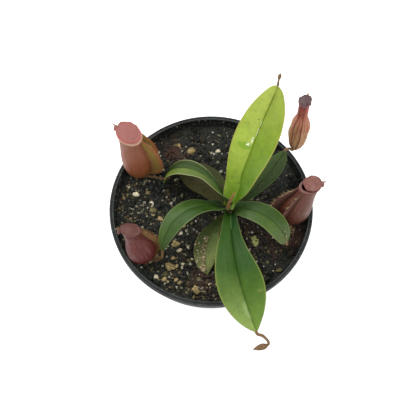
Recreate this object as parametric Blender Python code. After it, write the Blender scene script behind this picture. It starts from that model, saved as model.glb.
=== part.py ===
"""Young pitcher plant in a round nursery pot.

Frame: origin on the table at the centre of the pot's base, +Z up, the front leaf hangs towards -Y.
Lengths below are in millimetres and are turned into metres by MM. Angles are in degrees, and an
azimuth is measured from +X towards +Y, seen from above.
"""

import math
from dataclasses import dataclass

import bmesh
import bpy
from mathutils import Matrix, Vector, noise

MM = 0.001
GAP = 0.35  # clearance left between pieces that touch in the real plant

# Pot: injection-moulded, tapered, with a straight collar under its lip.
RIM_RADIUS = 52.5
POT_HEIGHT = 80.0
BASE_RADIUS = 35.0
POT_WALL = 1.0
LIP_OVERHANG = 1.3
LIP_DEPTH = 3.6
COLLAR_DEPTH = 14.0
COLLAR_STEP = 1.6
POT_SEGMENTS = 56
DRAIN_HOLES = 8
DRAIN_RADIUS = 3.6
DRAIN_CIRCLE = 22.5
FOOT_RECESS = 1.2

# Soil: fills the pot to a little under the lip.
SOIL_TOP = 72.4
SOIL_RIPPLE = 0.5

# Stem: rises out of the soil just right of the middle and leans to the front.
STEM_FOOT = Vector((8.0, -4.2, SOIL_TOP - 7.0))
STEM_TIP = Vector((10.2, -6.6, 95.0))
STEM_RADIUS = 1.5

LEAF_THICKNESS = 0.7
TENDRIL_RADIUS = 0.75


@dataclass
class Leaf:
    """One blade. Its midrib is an arc from the stem that climbs at rise and ends at fall."""

    name: str
    height: float  # of its node on the stem, above the table
    azimuth: float
    turn: float  # how far the midrib swings round by its tip
    rise: float
    fall: float
    length: float
    width: float
    roll_base: float  # turn of the blade about its midrib, left edge up
    roll_tip: float
    widest: float  # over 1 moves the widest place towards the tip
    blunt: float  # under 1 rounds the tip off
    petiole: float  # width at the stem, as a share of the full width
    keel: float  # how far each half folds up from the midrib
    material: str


LEAVES = [
    Leaf("leaf_top", 93.5, 71, -7, 36, 23, 60.0, 21.6, -37, 46, 1.26, 0.44, 0.20, 12, "young_leaf"),
    Leaf("leaf_front", 91.0, -92, 28, 24, -30, 62.0, 22.6, 17, -5, 1.41, 0.81, 0.20, 12, "mature_leaf"),
    Leaf("leaf_left", 88.5, 171, 91, 46, -65, 48.0, 15.4, 60, -9, 0.55, 0.74, 0.26, 8, "mature_leaf"),
    Leaf("leaf_right", 90.2, -3, -58, 35, -53, 34.5, 13.4, -9, -21, 1.26, 0.42, 0.28, 8, "mature_leaf"),
    Leaf("leaf_back_left", 91.0, 122, 60, 40, -84, 52.5, 19.6, 77, 10, 0.93, 0.43, 0.18, 2, "mature_leaf"),
    Leaf("leaf_old_back_left", 82.0, 114, 49, 16, -34, 38.5, 17.4, 10, 0, 1.10, 0.80, 0.18, 8, "old_leaf"),
    Leaf("leaf_back_right", 85.4, 38, 26, 26, -25, 45.0, 11.8, -41, 0, 1.20, 0.80, 0.20, 10, "old_leaf"),
    Leaf("leaf_old_front", 82.0, -142, 70, 4, -29, 33.0, 13.4, 54, 0, 1.10, 0.70, 0.20, 6, "old_leaf"),
]


@dataclass
class Pitcher:
    """One pitcher: a hollow cup on its own foot, with two wings down its front and a lid behind."""

    name: str
    leaf: str  # the leaf whose tendril feeds it
    foot: Vector  # lowest point of its axis
    lean_azimuth: float
    lean: float
    height: float  # from foot to mouth, along its axis
    front: float  # azimuth its wings run out to
    face: float  # azimuth the low side of its mouth faces
    belly: float
    waist: float
    waist_at: float  # share of the height where the waist sits
    mouth: float
    wing: float
    lid_length: float
    lid_width: float
    lid_open: float  # angle between the lid and the mouth
    material: str


PITCHERS = [
    Pitcher(
        "back_left", "leaf_back_left", foot=Vector((-35.2, 19.8, 74.6)),
        lean_azimuth=128, lean=15, height=31, front=2, face=-35,
        belly=7.6, waist=5.2, waist_at=0.86, mouth=5.2, wing=6.6,
        lid_length=12.2, lid_width=11.6, lid_open=6, material="orange_pitcher",
    ),
    Pitcher(
        "front_left", "leaf_left", foot=Vector((-33.2, -27.4, 74.6)),
        lean_azimuth=130, lean=31, height=21, front=42, face=15,
        belly=6.8, waist=4.2, waist_at=0.84, mouth=4.3, wing=4.0,
        lid_length=10.4, lid_width=10.2, lid_open=10, material="red_pitcher",
    ),
    Pitcher(
        "right", "leaf_right", foot=Vector((39.8, -5.6, 74.6)),
        lean_azimuth=49, lean=26, height=27, front=205, face=212,
        belly=6.9, waist=4.6, waist_at=0.90, mouth=4.5, wing=4.6,
        lid_length=9.0, lid_width=9.8, lid_open=16, material="red_pitcher",
    ),
    Pitcher(
        "back_right", "leaf_back_right", foot=Vector((43.8, 31.8, 82.0)),
        lean_azimuth=76, lean=31, height=28.5, front=-112, face=-112,
        belly=5.2, waist=2.8, waist_at=0.72, mouth=2.6, wing=1.2,
        lid_length=6.4, lid_width=6.0, lid_open=24, material="dried_pitcher",
    ),
]

PITCHER_WALL = 0.8
WING_ROOT = 24.0  # degrees each wing stands to the side of the front
PERISTOME = 0.75  # radius of the rolled rim round the mouth
MOUTH_SLOPE = 0.55  # rise of the mouth from front to back, as a share of its width
LID_THICKNESS = 0.7

# Routes of the tendrils between a leaf's tip and its pitcher's foot, as points the curve runs
# through. The two youngest end in the air, in a bud that hasn't opened.
TENDRIL_MIDDLES = {
    "back_left": [Vector((-26.5, 17.2, 74.4)), Vector((-31.0, 18.2, 74.2))],
    "front_left": [Vector((-24.6, -27.9, 78.0)), Vector((-28.0, -28.4, 74.9))],
    "right": [Vector((38.6, -20.2, 79.5)), Vector((39.4, -14.5, 75.0)), Vector((40.0, -9.5, 74.4))],
    "back_right": [Vector((40.6, 31.0, 84.4))],
}
TOP_BUD = [Vector((31.2, 45.6, 124.4)), Vector((31.6, 47.4, 126.0)), Vector((32.2, 49.2, 128.0))]
FRONT_BUD = [
    Vector((25.0, -68.0, 86.9)),
    Vector((27.6, -70.4, 85.2)),
    Vector((27.2, -71.6, 83.8)),
    Vector((24.4, -72.4, 82.6)),
    Vector((20.6, -73.6, 81.6)),
]

# Loose pieces of the potting mix that lie on the soil: (x, y, longest side).
PERLITE = [
    (-39.8, 8.2, 3.8),
    (-31.4, 3.0, 3.6),
    (-15.9, -12.9, 2.8),
    (-11.1, -20.7, 2.6),
    (3.4, 34.8, 2.8),
    (-27.4, -36.7, 3.0),
    (24.6, 34.0, 2.6),
]
PERLITE_FLATNESS = 0.7
BARK = [
    (-17.8, -18.9, 5.2),
    (-20.5, -30.9, 5.6),
    (22.8, -17.1, 5.4),
    (-11.3, 34.2, 4.8),
    (-6.9, -43.3, 5.0),
]
BARK_FLATNESS = 0.35

COLOURS = {
    "pot_plastic": ((0.012, 0.013, 0.013), 0.42),
    "potting_soil": ((0.020, 0.018, 0.014), 0.95),
    "stem_green": ((0.150, 0.170, 0.050), 0.60),
    "young_leaf": ((0.300, 0.420, 0.060), 0.38),
    "mature_leaf": ((0.060, 0.130, 0.030), 0.38),
    "old_leaf": ((0.060, 0.075, 0.030), 0.55),
    "tendril_brown": ((0.200, 0.090, 0.035), 0.60),
    "orange_pitcher": ((0.300, 0.080, 0.035), 0.40),
    "red_pitcher": ((0.150, 0.030, 0.025), 0.35),
    "dried_pitcher": ((0.280, 0.120, 0.060), 0.60),
    "lid_pink": ((0.450, 0.160, 0.140), 0.40),
    "lid_dark": ((0.200, 0.080, 0.070), 0.55),
    "perlite": ((0.800, 0.760, 0.650), 0.90),
    "bark": ((0.350, 0.230, 0.110), 0.90),
}


# ---------------------------------------------------------------- helpers


def clear_scene():
    for old in list(bpy.data.objects):
        bpy.data.objects.remove(old)


def material(name):
    """The Principled material of that name, made once."""
    made = bpy.data.materials.get(name)
    if made:
        return made
    colour, roughness = COLOURS[name]
    made = bpy.data.materials.new(name)
    made.use_nodes = True
    shader = made.node_tree.nodes["Principled BSDF"]
    shader.inputs["Base Color"].default_value = (*colour, 1.0)
    shader.inputs["Roughness"].default_value = roughness
    shader.inputs["Metallic"].default_value = 0.0
    return made


def add_object(name, mesh, finish):
    made = bpy.data.objects.new(name, mesh)
    bpy.context.scene.collection.objects.link(made)
    mesh.materials.append(material(finish))
    return made


def mesh_from(name, bm):
    """Takes the bmesh into a new mesh, with its faces out and its curved sides smooth."""
    bmesh.ops.recalc_face_normals(bm, faces=bm.faces)
    mesh = bpy.data.meshes.new(name)
    bm.to_mesh(mesh)
    bm.free()
    mesh.shade_smooth()
    mesh.set_sharp_from_angle(angle=math.radians(40))
    return mesh


def skin_rings(rings):
    """A closed bmesh skinned over rings of points in millimetres, with its first and last ring filled."""
    bm = bmesh.new()
    loops = [[bm.verts.new(point * MM) for point in ring] for ring in rings]
    for low, high in zip(loops, loops[1:]):
        for i in range(len(low)):
            j = (i + 1) % len(low)
            bm.faces.new((low[i], low[j], high[j], high[i]))
    bm.faces.new(reversed(loops[0]))
    bm.faces.new(loops[-1])
    return bm


def turned(name, profile, finish, segments):
    """A Screw-turned solid about Z. Its (radius, z) profile is closed by the axis and runs down its outside."""
    mesh = bpy.data.meshes.new(name)
    points = [(radius * MM, 0.0, z * MM) for radius, z in profile]
    mesh.from_pydata(points, [(i, i + 1) for i in range(len(points) - 1)], [])
    made = add_object(name, mesh, finish)
    screw = made.modifiers.new("turn", "SCREW")
    screw.steps = screw.render_steps = segments
    screw.use_merge_vertices = True
    screw.merge_threshold = 0.00002
    return made


def cut(target, cutter):
    """Takes cutter away from target, and keeps cutter as a hidden helper."""
    cutter.hide_render = True
    cutter.display_type = "WIRE"
    boolean = target.modifiers.new("cut", "BOOLEAN")
    boolean.operation = "DIFFERENCE"
    boolean.solver = "EXACT"
    boolean.object = cutter


def heading(azimuth, elevation):
    """Unit vector of that azimuth and elevation, in degrees."""
    a, e = math.radians(azimuth), math.radians(elevation)
    return Vector((math.cos(e) * math.cos(a), math.cos(e) * math.sin(a), math.sin(e)))


def stem_axis(height):
    """Point on the stem's axis at that height."""
    share = (height - STEM_FOOT.z) / (STEM_TIP.z - STEM_FOOT.z)
    return STEM_FOOT.lerp(STEM_TIP, share)


# ---------------------------------------------------------------- pot and soil


def pot_inner_radius(z):
    """Radius of the pot's inside at that height: a tapered wall with a wider collar on top."""
    collar_foot = POT_HEIGHT - COLLAR_DEPTH
    top = RIM_RADIUS - LIP_OVERHANG - POT_WALL
    if z >= collar_foot:
        return top - 0.8 * (POT_HEIGHT - z) / COLLAR_DEPTH
    low, high = BASE_RADIUS - POT_WALL, top - 0.8 - COLLAR_STEP
    return low + (high - low) * z / collar_foot


def make_pot():
    collar_foot = POT_HEIGHT - COLLAR_DEPTH
    floor = POT_WALL + FOOT_RECESS
    lip_foot = POT_HEIGHT - LIP_DEPTH
    inside = [
        (0.0, floor),
        (BASE_RADIUS - 3.0, floor),
        (pot_inner_radius(floor + 1.5), floor + 1.5),
        (pot_inner_radius(collar_foot - 1.5), collar_foot - 1.5),
        (pot_inner_radius(collar_foot), collar_foot),
        (pot_inner_radius(POT_HEIGHT - 0.6), POT_HEIGHT - 0.6),
    ]
    lip = [
        (RIM_RADIUS - LIP_OVERHANG - 0.55, POT_HEIGHT),
        (RIM_RADIUS - 0.7, POT_HEIGHT),
        (RIM_RADIUS, POT_HEIGHT - 0.7),
        (RIM_RADIUS, lip_foot + 0.3),
        (RIM_RADIUS - 0.3, lip_foot),
        (pot_inner_radius(lip_foot) + POT_WALL, lip_foot),
    ]
    outside = [
        (pot_inner_radius(collar_foot) + POT_WALL, collar_foot - 0.8),
        (pot_inner_radius(collar_foot - 1.5) + POT_WALL, collar_foot - 2.0),
        (BASE_RADIUS + 0.4, 1.0),
        (BASE_RADIUS - 0.4, 0.0),
        (BASE_RADIUS - 4.0, 0.0),
        (BASE_RADIUS - 4.8, FOOT_RECESS),
        (14.8, FOOT_RECESS),
        (14.0, 0.0),
        (0.0, 0.0),
    ]
    pot = turned("pot", inside + lip + outside, "pot_plastic", POT_SEGMENTS)
    drill = bmesh.new()
    for i in range(DRAIN_HOLES):
        spot = heading(i * 360.0 / DRAIN_HOLES, 0.0) * DRAIN_CIRCLE * MM
        radius = DRAIN_RADIUS * MM
        bore = bmesh.ops.create_cone(drill, cap_ends=True, segments=16, radius1=radius, radius2=radius, depth=20.0 * MM)
        bmesh.ops.translate(drill, verts=bore["verts"], vec=spot)
    cut(pot, add_object("drain_drill", mesh_from("drain_drill", drill), "pot_plastic"))


def soil_height(x, y):
    """Height of the soil at a place: level, with low smooth ripples."""
    ripple = noise.noise(Vector((x * 0.09, y * 0.09, 3.7)))
    return SOIL_TOP + SOIL_RIPPLE * ripple


def make_soil():
    floor = POT_WALL + FOOT_RECESS + GAP
    collar_foot = POT_HEIGHT - COLLAR_DEPTH
    levels = [
        (BASE_RADIUS - 3.6, floor),
        (pot_inner_radius(floor + 1.5) - GAP, floor + 1.7),
        (pot_inner_radius(collar_foot - 1.5) - GAP, collar_foot - 1.5),
        (pot_inner_radius(collar_foot) - GAP, collar_foot + 0.1),
    ]
    edge = pot_inner_radius(SOIL_TOP - SOIL_RIPPLE) - GAP
    turns = [heading(i * 360.0 / POT_SEGMENTS, 0.0) for i in range(POT_SEGMENTS)]
    rings = [[way * radius + Vector((0, 0, z)) for way in turns] for radius, z in levels]
    for share in (1.0, 0.96, 0.78, 0.58, 0.38, 0.18):
        ring = []
        for way in turns:
            spot = way * edge * share
            drop = 0.8 if share == 1.0 else 0.0
            ring.append(Vector((spot.x, spot.y, soil_height(spot.x, spot.y) - drop)))
        rings.append(ring)
    soil = add_object("soil", mesh_from("soil", skin_rings(rings)), "potting_soil")
    ends = [STEM_FOOT - Vector((0, 0, GAP)), stem_axis(SOIL_TOP + 4.0)]
    dibber = skin_rings(tube_rings(ends, [STEM_RADIUS + GAP] * 2, 16))
    cut(soil, add_object("stem_dibber", mesh_from("stem_dibber", dibber), "potting_soil"))


# ---------------------------------------------------------------- stem and new leaf


def tube_rings(points, radii, sides):
    """Rings of a round tube of varying radius along a line of points."""
    rings = []
    across = Vector((1.0, 0.3, 0.2))
    for i, point in enumerate(points):
        ahead = points[min(i + 1, len(points) - 1)] - points[max(i - 1, 0)]
        ahead.normalize()
        across = (across - ahead * across.dot(ahead)).normalized()
        up = ahead.cross(across)
        turns = [2.0 * math.pi * k / sides for k in range(sides)]
        rings.append([point + (across * math.cos(t) + up * math.sin(t)) * radii[i] for t in turns])
    return rings


def smooth_route(points, steps):
    """Catmull-Rom curve through the points, with that many steps between each two."""
    padded = [points[0] * 2 - points[1], *points, points[-1] * 2 - points[-2]]
    route = []
    for a, b, c, d in zip(padded, padded[1:], padded[2:], padded[3:]):
        for k in range(steps):
            t = k / steps
            square = a * 2 - b * 5 + c * 4 - d
            cube = b * 3 - a - c * 3 + d
            route.append((b * 2 + (c - a) * t + square * t**2 + cube * t**3) * 0.5)
    return [*route, points[-1]]


def make_stem():
    heights = [STEM_FOOT.z, SOIL_TOP, 78.0, 83.0, 88.0, 92.0, 94.4, STEM_TIP.z]
    radii = [STEM_RADIUS, STEM_RADIUS, 1.4, 1.35, 1.3, 1.2, 1.0, 0.7]
    rings = tube_rings([stem_axis(z) for z in heights], radii, 12)
    add_object("stem", mesh_from("stem", skin_rings(rings)), "stem_green")


def make_new_leaf():
    """The youngest leaf, still rolled into a spear, that stands on the stem's tip."""
    foot = STEM_TIP + Vector((0.0, 0.0, GAP))
    route = smooth_route([foot, foot + Vector((0.5, 0.3, 8.0)), foot + Vector((1.8, 1.2, 16.0))], 4)
    radii = [0.7, 1.0, 1.15, 1.15, 1.05, 0.9, 0.75, 0.6, 0.35]
    spear = mesh_from("new_leaf_spear", skin_rings(tube_rings(route, radii, 10)))
    add_object("new_leaf_spear", spear, "tendril_brown")


# ---------------------------------------------------------------- leaves


def midrib(leaf, share):
    """(point, forward, left, up) of a leaf's midrib at that share of its length."""
    steps = 40
    tilt_back = abs(math.sin(math.radians(leaf.roll_base))) * math.sin(math.radians(leaf.rise))
    clear = STEM_RADIUS + GAP + 0.2 + half_width(leaf, 0.0) * tilt_back
    point = stem_axis(leaf.height) + heading(leaf.azimuth, 0.0) * clear
    count = round(share * steps)
    for i in range(count):
        middle = (i + 0.5) / steps
        way = heading(leaf.azimuth + leaf.turn * middle, leaf.rise + (leaf.fall - leaf.rise) * middle)
        point = point + way * leaf.length / steps
    forward = heading(leaf.azimuth + leaf.turn * share, leaf.rise + (leaf.fall - leaf.rise) * share)
    left = heading(leaf.azimuth + leaf.turn * share + 90.0, 0.0)
    up = forward.cross(left)
    roll = Matrix.Rotation(math.radians(leaf.roll_base + (leaf.roll_tip - leaf.roll_base) * share), 3, forward)
    return point, forward, roll @ left, roll @ up


def half_width(leaf, share):
    """Half the blade's width: a skewed sine from the petiole to the tip."""
    petiole = leaf.petiole * (1.0 - share) ** 2
    swell = math.sin(math.pi * min(share, 0.999) ** leaf.widest) ** leaf.blunt
    return max(0.45, leaf.width / 2.0 * (petiole + (1.0 - petiole) * swell))


def make_leaf(leaf):
    rows, columns = 20, 4
    bm = bmesh.new()
    bmesh.ops.create_grid(bm, x_segments=columns, y_segments=rows, size=1.0)
    keel = math.radians(leaf.keel)
    for vert in bm.verts:
        across, share = vert.co.x, (vert.co.y + 1.0) / 2.0
        point, _, left, up = midrib(leaf, share)
        reach = half_width(leaf, share) * across
        vert.co = (point - left * reach * math.cos(keel) + up * abs(reach) * math.sin(keel)) * MM
    made = add_object(leaf.name, mesh_from(leaf.name, bm), leaf.material)
    solidify = made.modifiers.new("blade thickness", "SOLIDIFY")
    solidify.thickness = LEAF_THICKNESS * MM
    solidify.offset = -1.0


# ---------------------------------------------------------------- pitchers


def pitcher_axes(pitcher, azimuth):
    """(axis, towards, side) of a pitcher: its leaning axis, and square to it the way to that azimuth."""
    axis = heading(pitcher.lean_azimuth, 90.0 - pitcher.lean)
    towards = heading(azimuth, 0.0)
    towards = (towards - axis * towards.dot(axis)).normalized()
    return axis, towards, axis.cross(towards)


def pitcher_radius(pitcher, share):
    """Outer radius: a rounded foot, a belly at a third of the height, a waist, then a flared mouth."""
    belly_at, waist_at = 0.36, pitcher.waist_at
    if share < belly_at:
        return pitcher.belly * math.sqrt(max(0.02, 1.0 - (1.0 - share / belly_at) ** 2))
    if share < waist_at:
        ease = 0.5 - 0.5 * math.cos(math.pi * (share - belly_at) / (waist_at - belly_at))
        return pitcher.belly + (pitcher.waist - pitcher.belly) * ease
    ease = (share - waist_at) / (1.0 - waist_at)
    return pitcher.waist + (pitcher.mouth - pitcher.waist) * ease * ease


def lip_radius(pitcher):
    return min(PERISTOME, pitcher.mouth * 0.15)


def make_pitcher(pitcher):
    axis, front, side = pitcher_axes(pitcher, pitcher.front)
    face = pitcher_axes(pitcher, pitcher.face)[1]
    wing_part = [(WING_ROOT - 4.0, 0), (WING_ROOT, 1), (WING_ROOT + 4.0, 0)]
    half = [(12.0, 0), *wing_part, (46.0, 0), (70.0, 0), (95.0, 0), (122.0, 0), (150.0, 0)]
    angles = [(0.0, 0), *half, (180.0, 0), *[(-angle, on_wing) for angle, on_wing in reversed(half)]]

    def ring(share, radius, wing=0.0, lift=0.0):
        slope = MOUTH_SLOPE * max(0.0, (share - 0.45) / 0.55) ** 2
        points = []
        for angle, on_wing in angles:
            t = math.radians(angle)
            flat = (front * math.cos(t) + side * math.sin(t)) * radius
            rise = pitcher.height * share + lift - slope * flat.dot(face)
            points.append(pitcher.foot + flat + front * wing * on_wing + axis * rise)
        return points

    rings = []
    for share in (0.0, 0.03, 0.08, 0.16, 0.26, 0.36, 0.48, 0.60, 0.72, 0.82, 0.90, 0.96):
        wing = pitcher.wing * math.sin(math.pi * min(1.0, share / 0.97) ** 0.75) ** 0.7
        rings.append(ring(share, pitcher_radius(pitcher, share), wing))
    mouth, lip = pitcher.mouth, lip_radius(pitcher)
    rings.append(ring(1.0, mouth + lip * 0.9, 0.0, -lip))
    rings.append(ring(1.0, mouth + lip * 1.3, 0.0, 0.0))
    rings.append(ring(1.0, mouth + lip * 0.6, 0.0, lip * 0.9))
    rings.append(ring(1.0, mouth - lip * 0.5, 0.0, lip * 0.7))
    rings.append(ring(1.0, mouth - lip, 0.0, -lip * 0.3))
    for share in (0.94, 0.84, 0.68, 0.50, 0.34, 0.20, 0.10, 0.06):
        rings.append(ring(share, max(0.6, pitcher_radius(pitcher, share) - PITCHER_WALL)))
    name = f"pitcher_{pitcher.name}"
    add_object(name, mesh_from(name, skin_rings(rings)), pitcher.material)


def make_lid(pitcher):
    """A domed oval lid that starts at the back of the mouth and reaches over it to the front."""
    axis, face, side = pitcher_axes(pitcher, pitcher.face)
    tilt = math.radians(pitcher.lid_open) - math.atan(MOUTH_SLOPE)
    reach = face * math.cos(tilt) + axis * math.sin(tilt)
    out = axis * math.cos(tilt) - face * math.sin(tilt)
    back = pitcher.mouth + lip_radius(pitcher)
    hinge = pitcher.foot - face * back
    hinge = hinge + axis * (pitcher.height + MOUTH_SLOPE * back + lip_radius(pitcher) + LID_THICKNESS + GAP)
    bm = bmesh.new()
    bmesh.ops.create_grid(bm, x_segments=8, y_segments=10, size=1.0)
    for vert in bm.verts:
        u, v = vert.co.x, vert.co.y
        x = u * math.sqrt(1.0 - v * v / 2.0)
        y = v * math.sqrt(1.0 - u * u / 2.0)
        dome = 0.13 * pitcher.lid_width * (1.0 - x * x - y * y)
        spot = reach * (y + 1.0) / 2.0 * pitcher.lid_length + side * x / 2.0 * pitcher.lid_width
        vert.co = (hinge + spot + out * dome) * MM
    finish = "lid_dark" if pitcher.name != "back_left" else "lid_pink"
    made = add_object(f"lid_{pitcher.name}", mesh_from(f"lid_{pitcher.name}", bm), finish)
    solidify = made.modifiers.new("lid thickness", "SOLIDIFY")
    solidify.thickness = LID_THICKNESS * MM
    solidify.offset = -1.0


# ---------------------------------------------------------------- tendrils


def leaf_end(name):
    """Where a tendril starts: just past the tip of that leaf, at half its thickness."""
    leaf = next(leaf for leaf in LEAVES if leaf.name == name)
    tip, forward, _, up = midrib(leaf, 1.0)
    return tip + forward * (GAP + 0.5) - up * LEAF_THICKNESS / 2.0


def make_tendril(name, points, bud=0.0):
    """A tendril along the points. With a bud, its last third swells into a spindle of that radius."""
    route = smooth_route(points, 3)
    radii = []
    for i in range(len(route)):
        share = i / (len(route) - 1)
        swell = math.sin(math.pi * max(0.0, (share - 0.62) / 0.38)) * bud
        radii.append(max(TENDRIL_RADIUS * (1.0 - 0.35 * share), swell))
    radii[-1] = 0.3
    mesh = mesh_from(f"tendril_{name}", skin_rings(tube_rings(route, radii, 8)))
    add_object(f"tendril_{name}", mesh, "tendril_brown")


def make_feeding_tendril(pitcher):
    """The tendril that ends under a pitcher's foot, on the side it comes from."""
    middles = TENDRIL_MIDDLES[pitcher.name]
    axis = pitcher_axes(pitcher, pitcher.front)[0]
    aside = (middles[-1] - pitcher.foot).normalized()
    end = pitcher.foot + aside * pitcher.belly * 0.3 - axis * (TENDRIL_RADIUS + 0.1)
    make_tendril(pitcher.name, [leaf_end(pitcher.leaf), *middles, end])


# ---------------------------------------------------------------- loose pieces of the mix


def make_chip(name, x, y, size, flat, finish, seed):
    """A crumb or flake: an icosphere pushed in and out by noise, lying just clear of the soil."""
    bm = bmesh.new()
    bmesh.ops.create_icosphere(bm, subdivisions=1, radius=0.5)
    lowest = 0.0
    for vert in bm.verts:
        push = 1.0 + 0.5 * noise.noise(vert.co * 2.3 + Vector((seed * 7.1, 0.0, 0.0)))
        vert.co = Vector((vert.co.x * size, vert.co.y * size * 0.7, vert.co.z * size * flat)) * push
        lowest = min(lowest, vert.co.z)
    around = [heading(a, 0.0) * size * 0.4 for a in range(0, 360, 45)]
    ground = max(soil_height(x + way.x, y + way.y) for way in around)
    bmesh.ops.rotate(bm, verts=bm.verts, matrix=Matrix.Rotation(seed * 0.82, 3, "Z"))
    for vert in bm.verts:
        vert.co = (vert.co + Vector((x, y, ground - lowest + GAP))) * MM
    add_object(name, mesh_from(name, bm), finish)


# ---------------------------------------------------------------- the whole plant


def main():
    clear_scene()
    make_pot()
    make_soil()
    make_stem()
    make_new_leaf()
    for leaf in LEAVES:
        make_leaf(leaf)
    for pitcher in PITCHERS:
        make_pitcher(pitcher)
        make_lid(pitcher)
    for pitcher in PITCHERS:
        make_feeding_tendril(pitcher)
    make_tendril("top", [leaf_end("leaf_top"), *TOP_BUD], bud=1.1)
    make_tendril("front", [leaf_end("leaf_front"), *FRONT_BUD], bud=1.5)
    for i, (x, y, size) in enumerate(PERLITE, start=1):
        make_chip(f"perlite_{i}", x, y, size, PERLITE_FLATNESS, "perlite", i)
    for i, (x, y, size) in enumerate(BARK, start=1):
        make_chip(f"bark_{i}", x, y, size, BARK_FLATNESS, "bark", i + 20)


main()
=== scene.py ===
"""Young pitcher plant in a round nursery pot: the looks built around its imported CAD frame.

Shapes are worked out in millimetres and go into the meshes in metres (MM). Angles are in degrees and
an azimuth runs from +X towards +Y, seen from above. Shades are written as 0 to 255, as on a colour card.
"""

from dataclasses import dataclass

import bmesh
import bpy
import numpy as np
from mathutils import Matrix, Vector


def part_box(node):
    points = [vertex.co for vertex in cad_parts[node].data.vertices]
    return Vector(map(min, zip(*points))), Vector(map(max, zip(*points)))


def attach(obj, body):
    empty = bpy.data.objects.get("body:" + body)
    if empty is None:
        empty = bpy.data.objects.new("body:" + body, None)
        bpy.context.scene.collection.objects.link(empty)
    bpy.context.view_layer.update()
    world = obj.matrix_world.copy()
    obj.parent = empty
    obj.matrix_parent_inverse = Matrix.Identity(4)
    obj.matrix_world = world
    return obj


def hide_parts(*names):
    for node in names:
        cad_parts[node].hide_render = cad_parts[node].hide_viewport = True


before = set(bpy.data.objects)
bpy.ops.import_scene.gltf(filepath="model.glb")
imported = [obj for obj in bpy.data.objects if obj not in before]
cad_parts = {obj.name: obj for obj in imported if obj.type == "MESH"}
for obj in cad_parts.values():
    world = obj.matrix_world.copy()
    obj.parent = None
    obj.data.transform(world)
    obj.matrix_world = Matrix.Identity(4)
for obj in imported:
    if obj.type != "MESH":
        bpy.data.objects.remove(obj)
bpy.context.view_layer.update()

MM = 0.001

# ---------------------------------------------------------------- table, light and camera
# The pot stands on a plain white table in a bright studio: an even white surround, one wide soft
# light from the upper left and a weaker one from the right. The camera looks steeply down on it.


def paint(red, green, blue):
    """Linear colour of a shade given as 0 to 255."""
    share = np.array([red, green, blue]) / 255.0
    linear = np.where(share <= 0.04045, share / 12.92, ((share + 0.055) / 1.055) ** 2.4)
    return (*linear.tolist(), 1.0)


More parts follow.
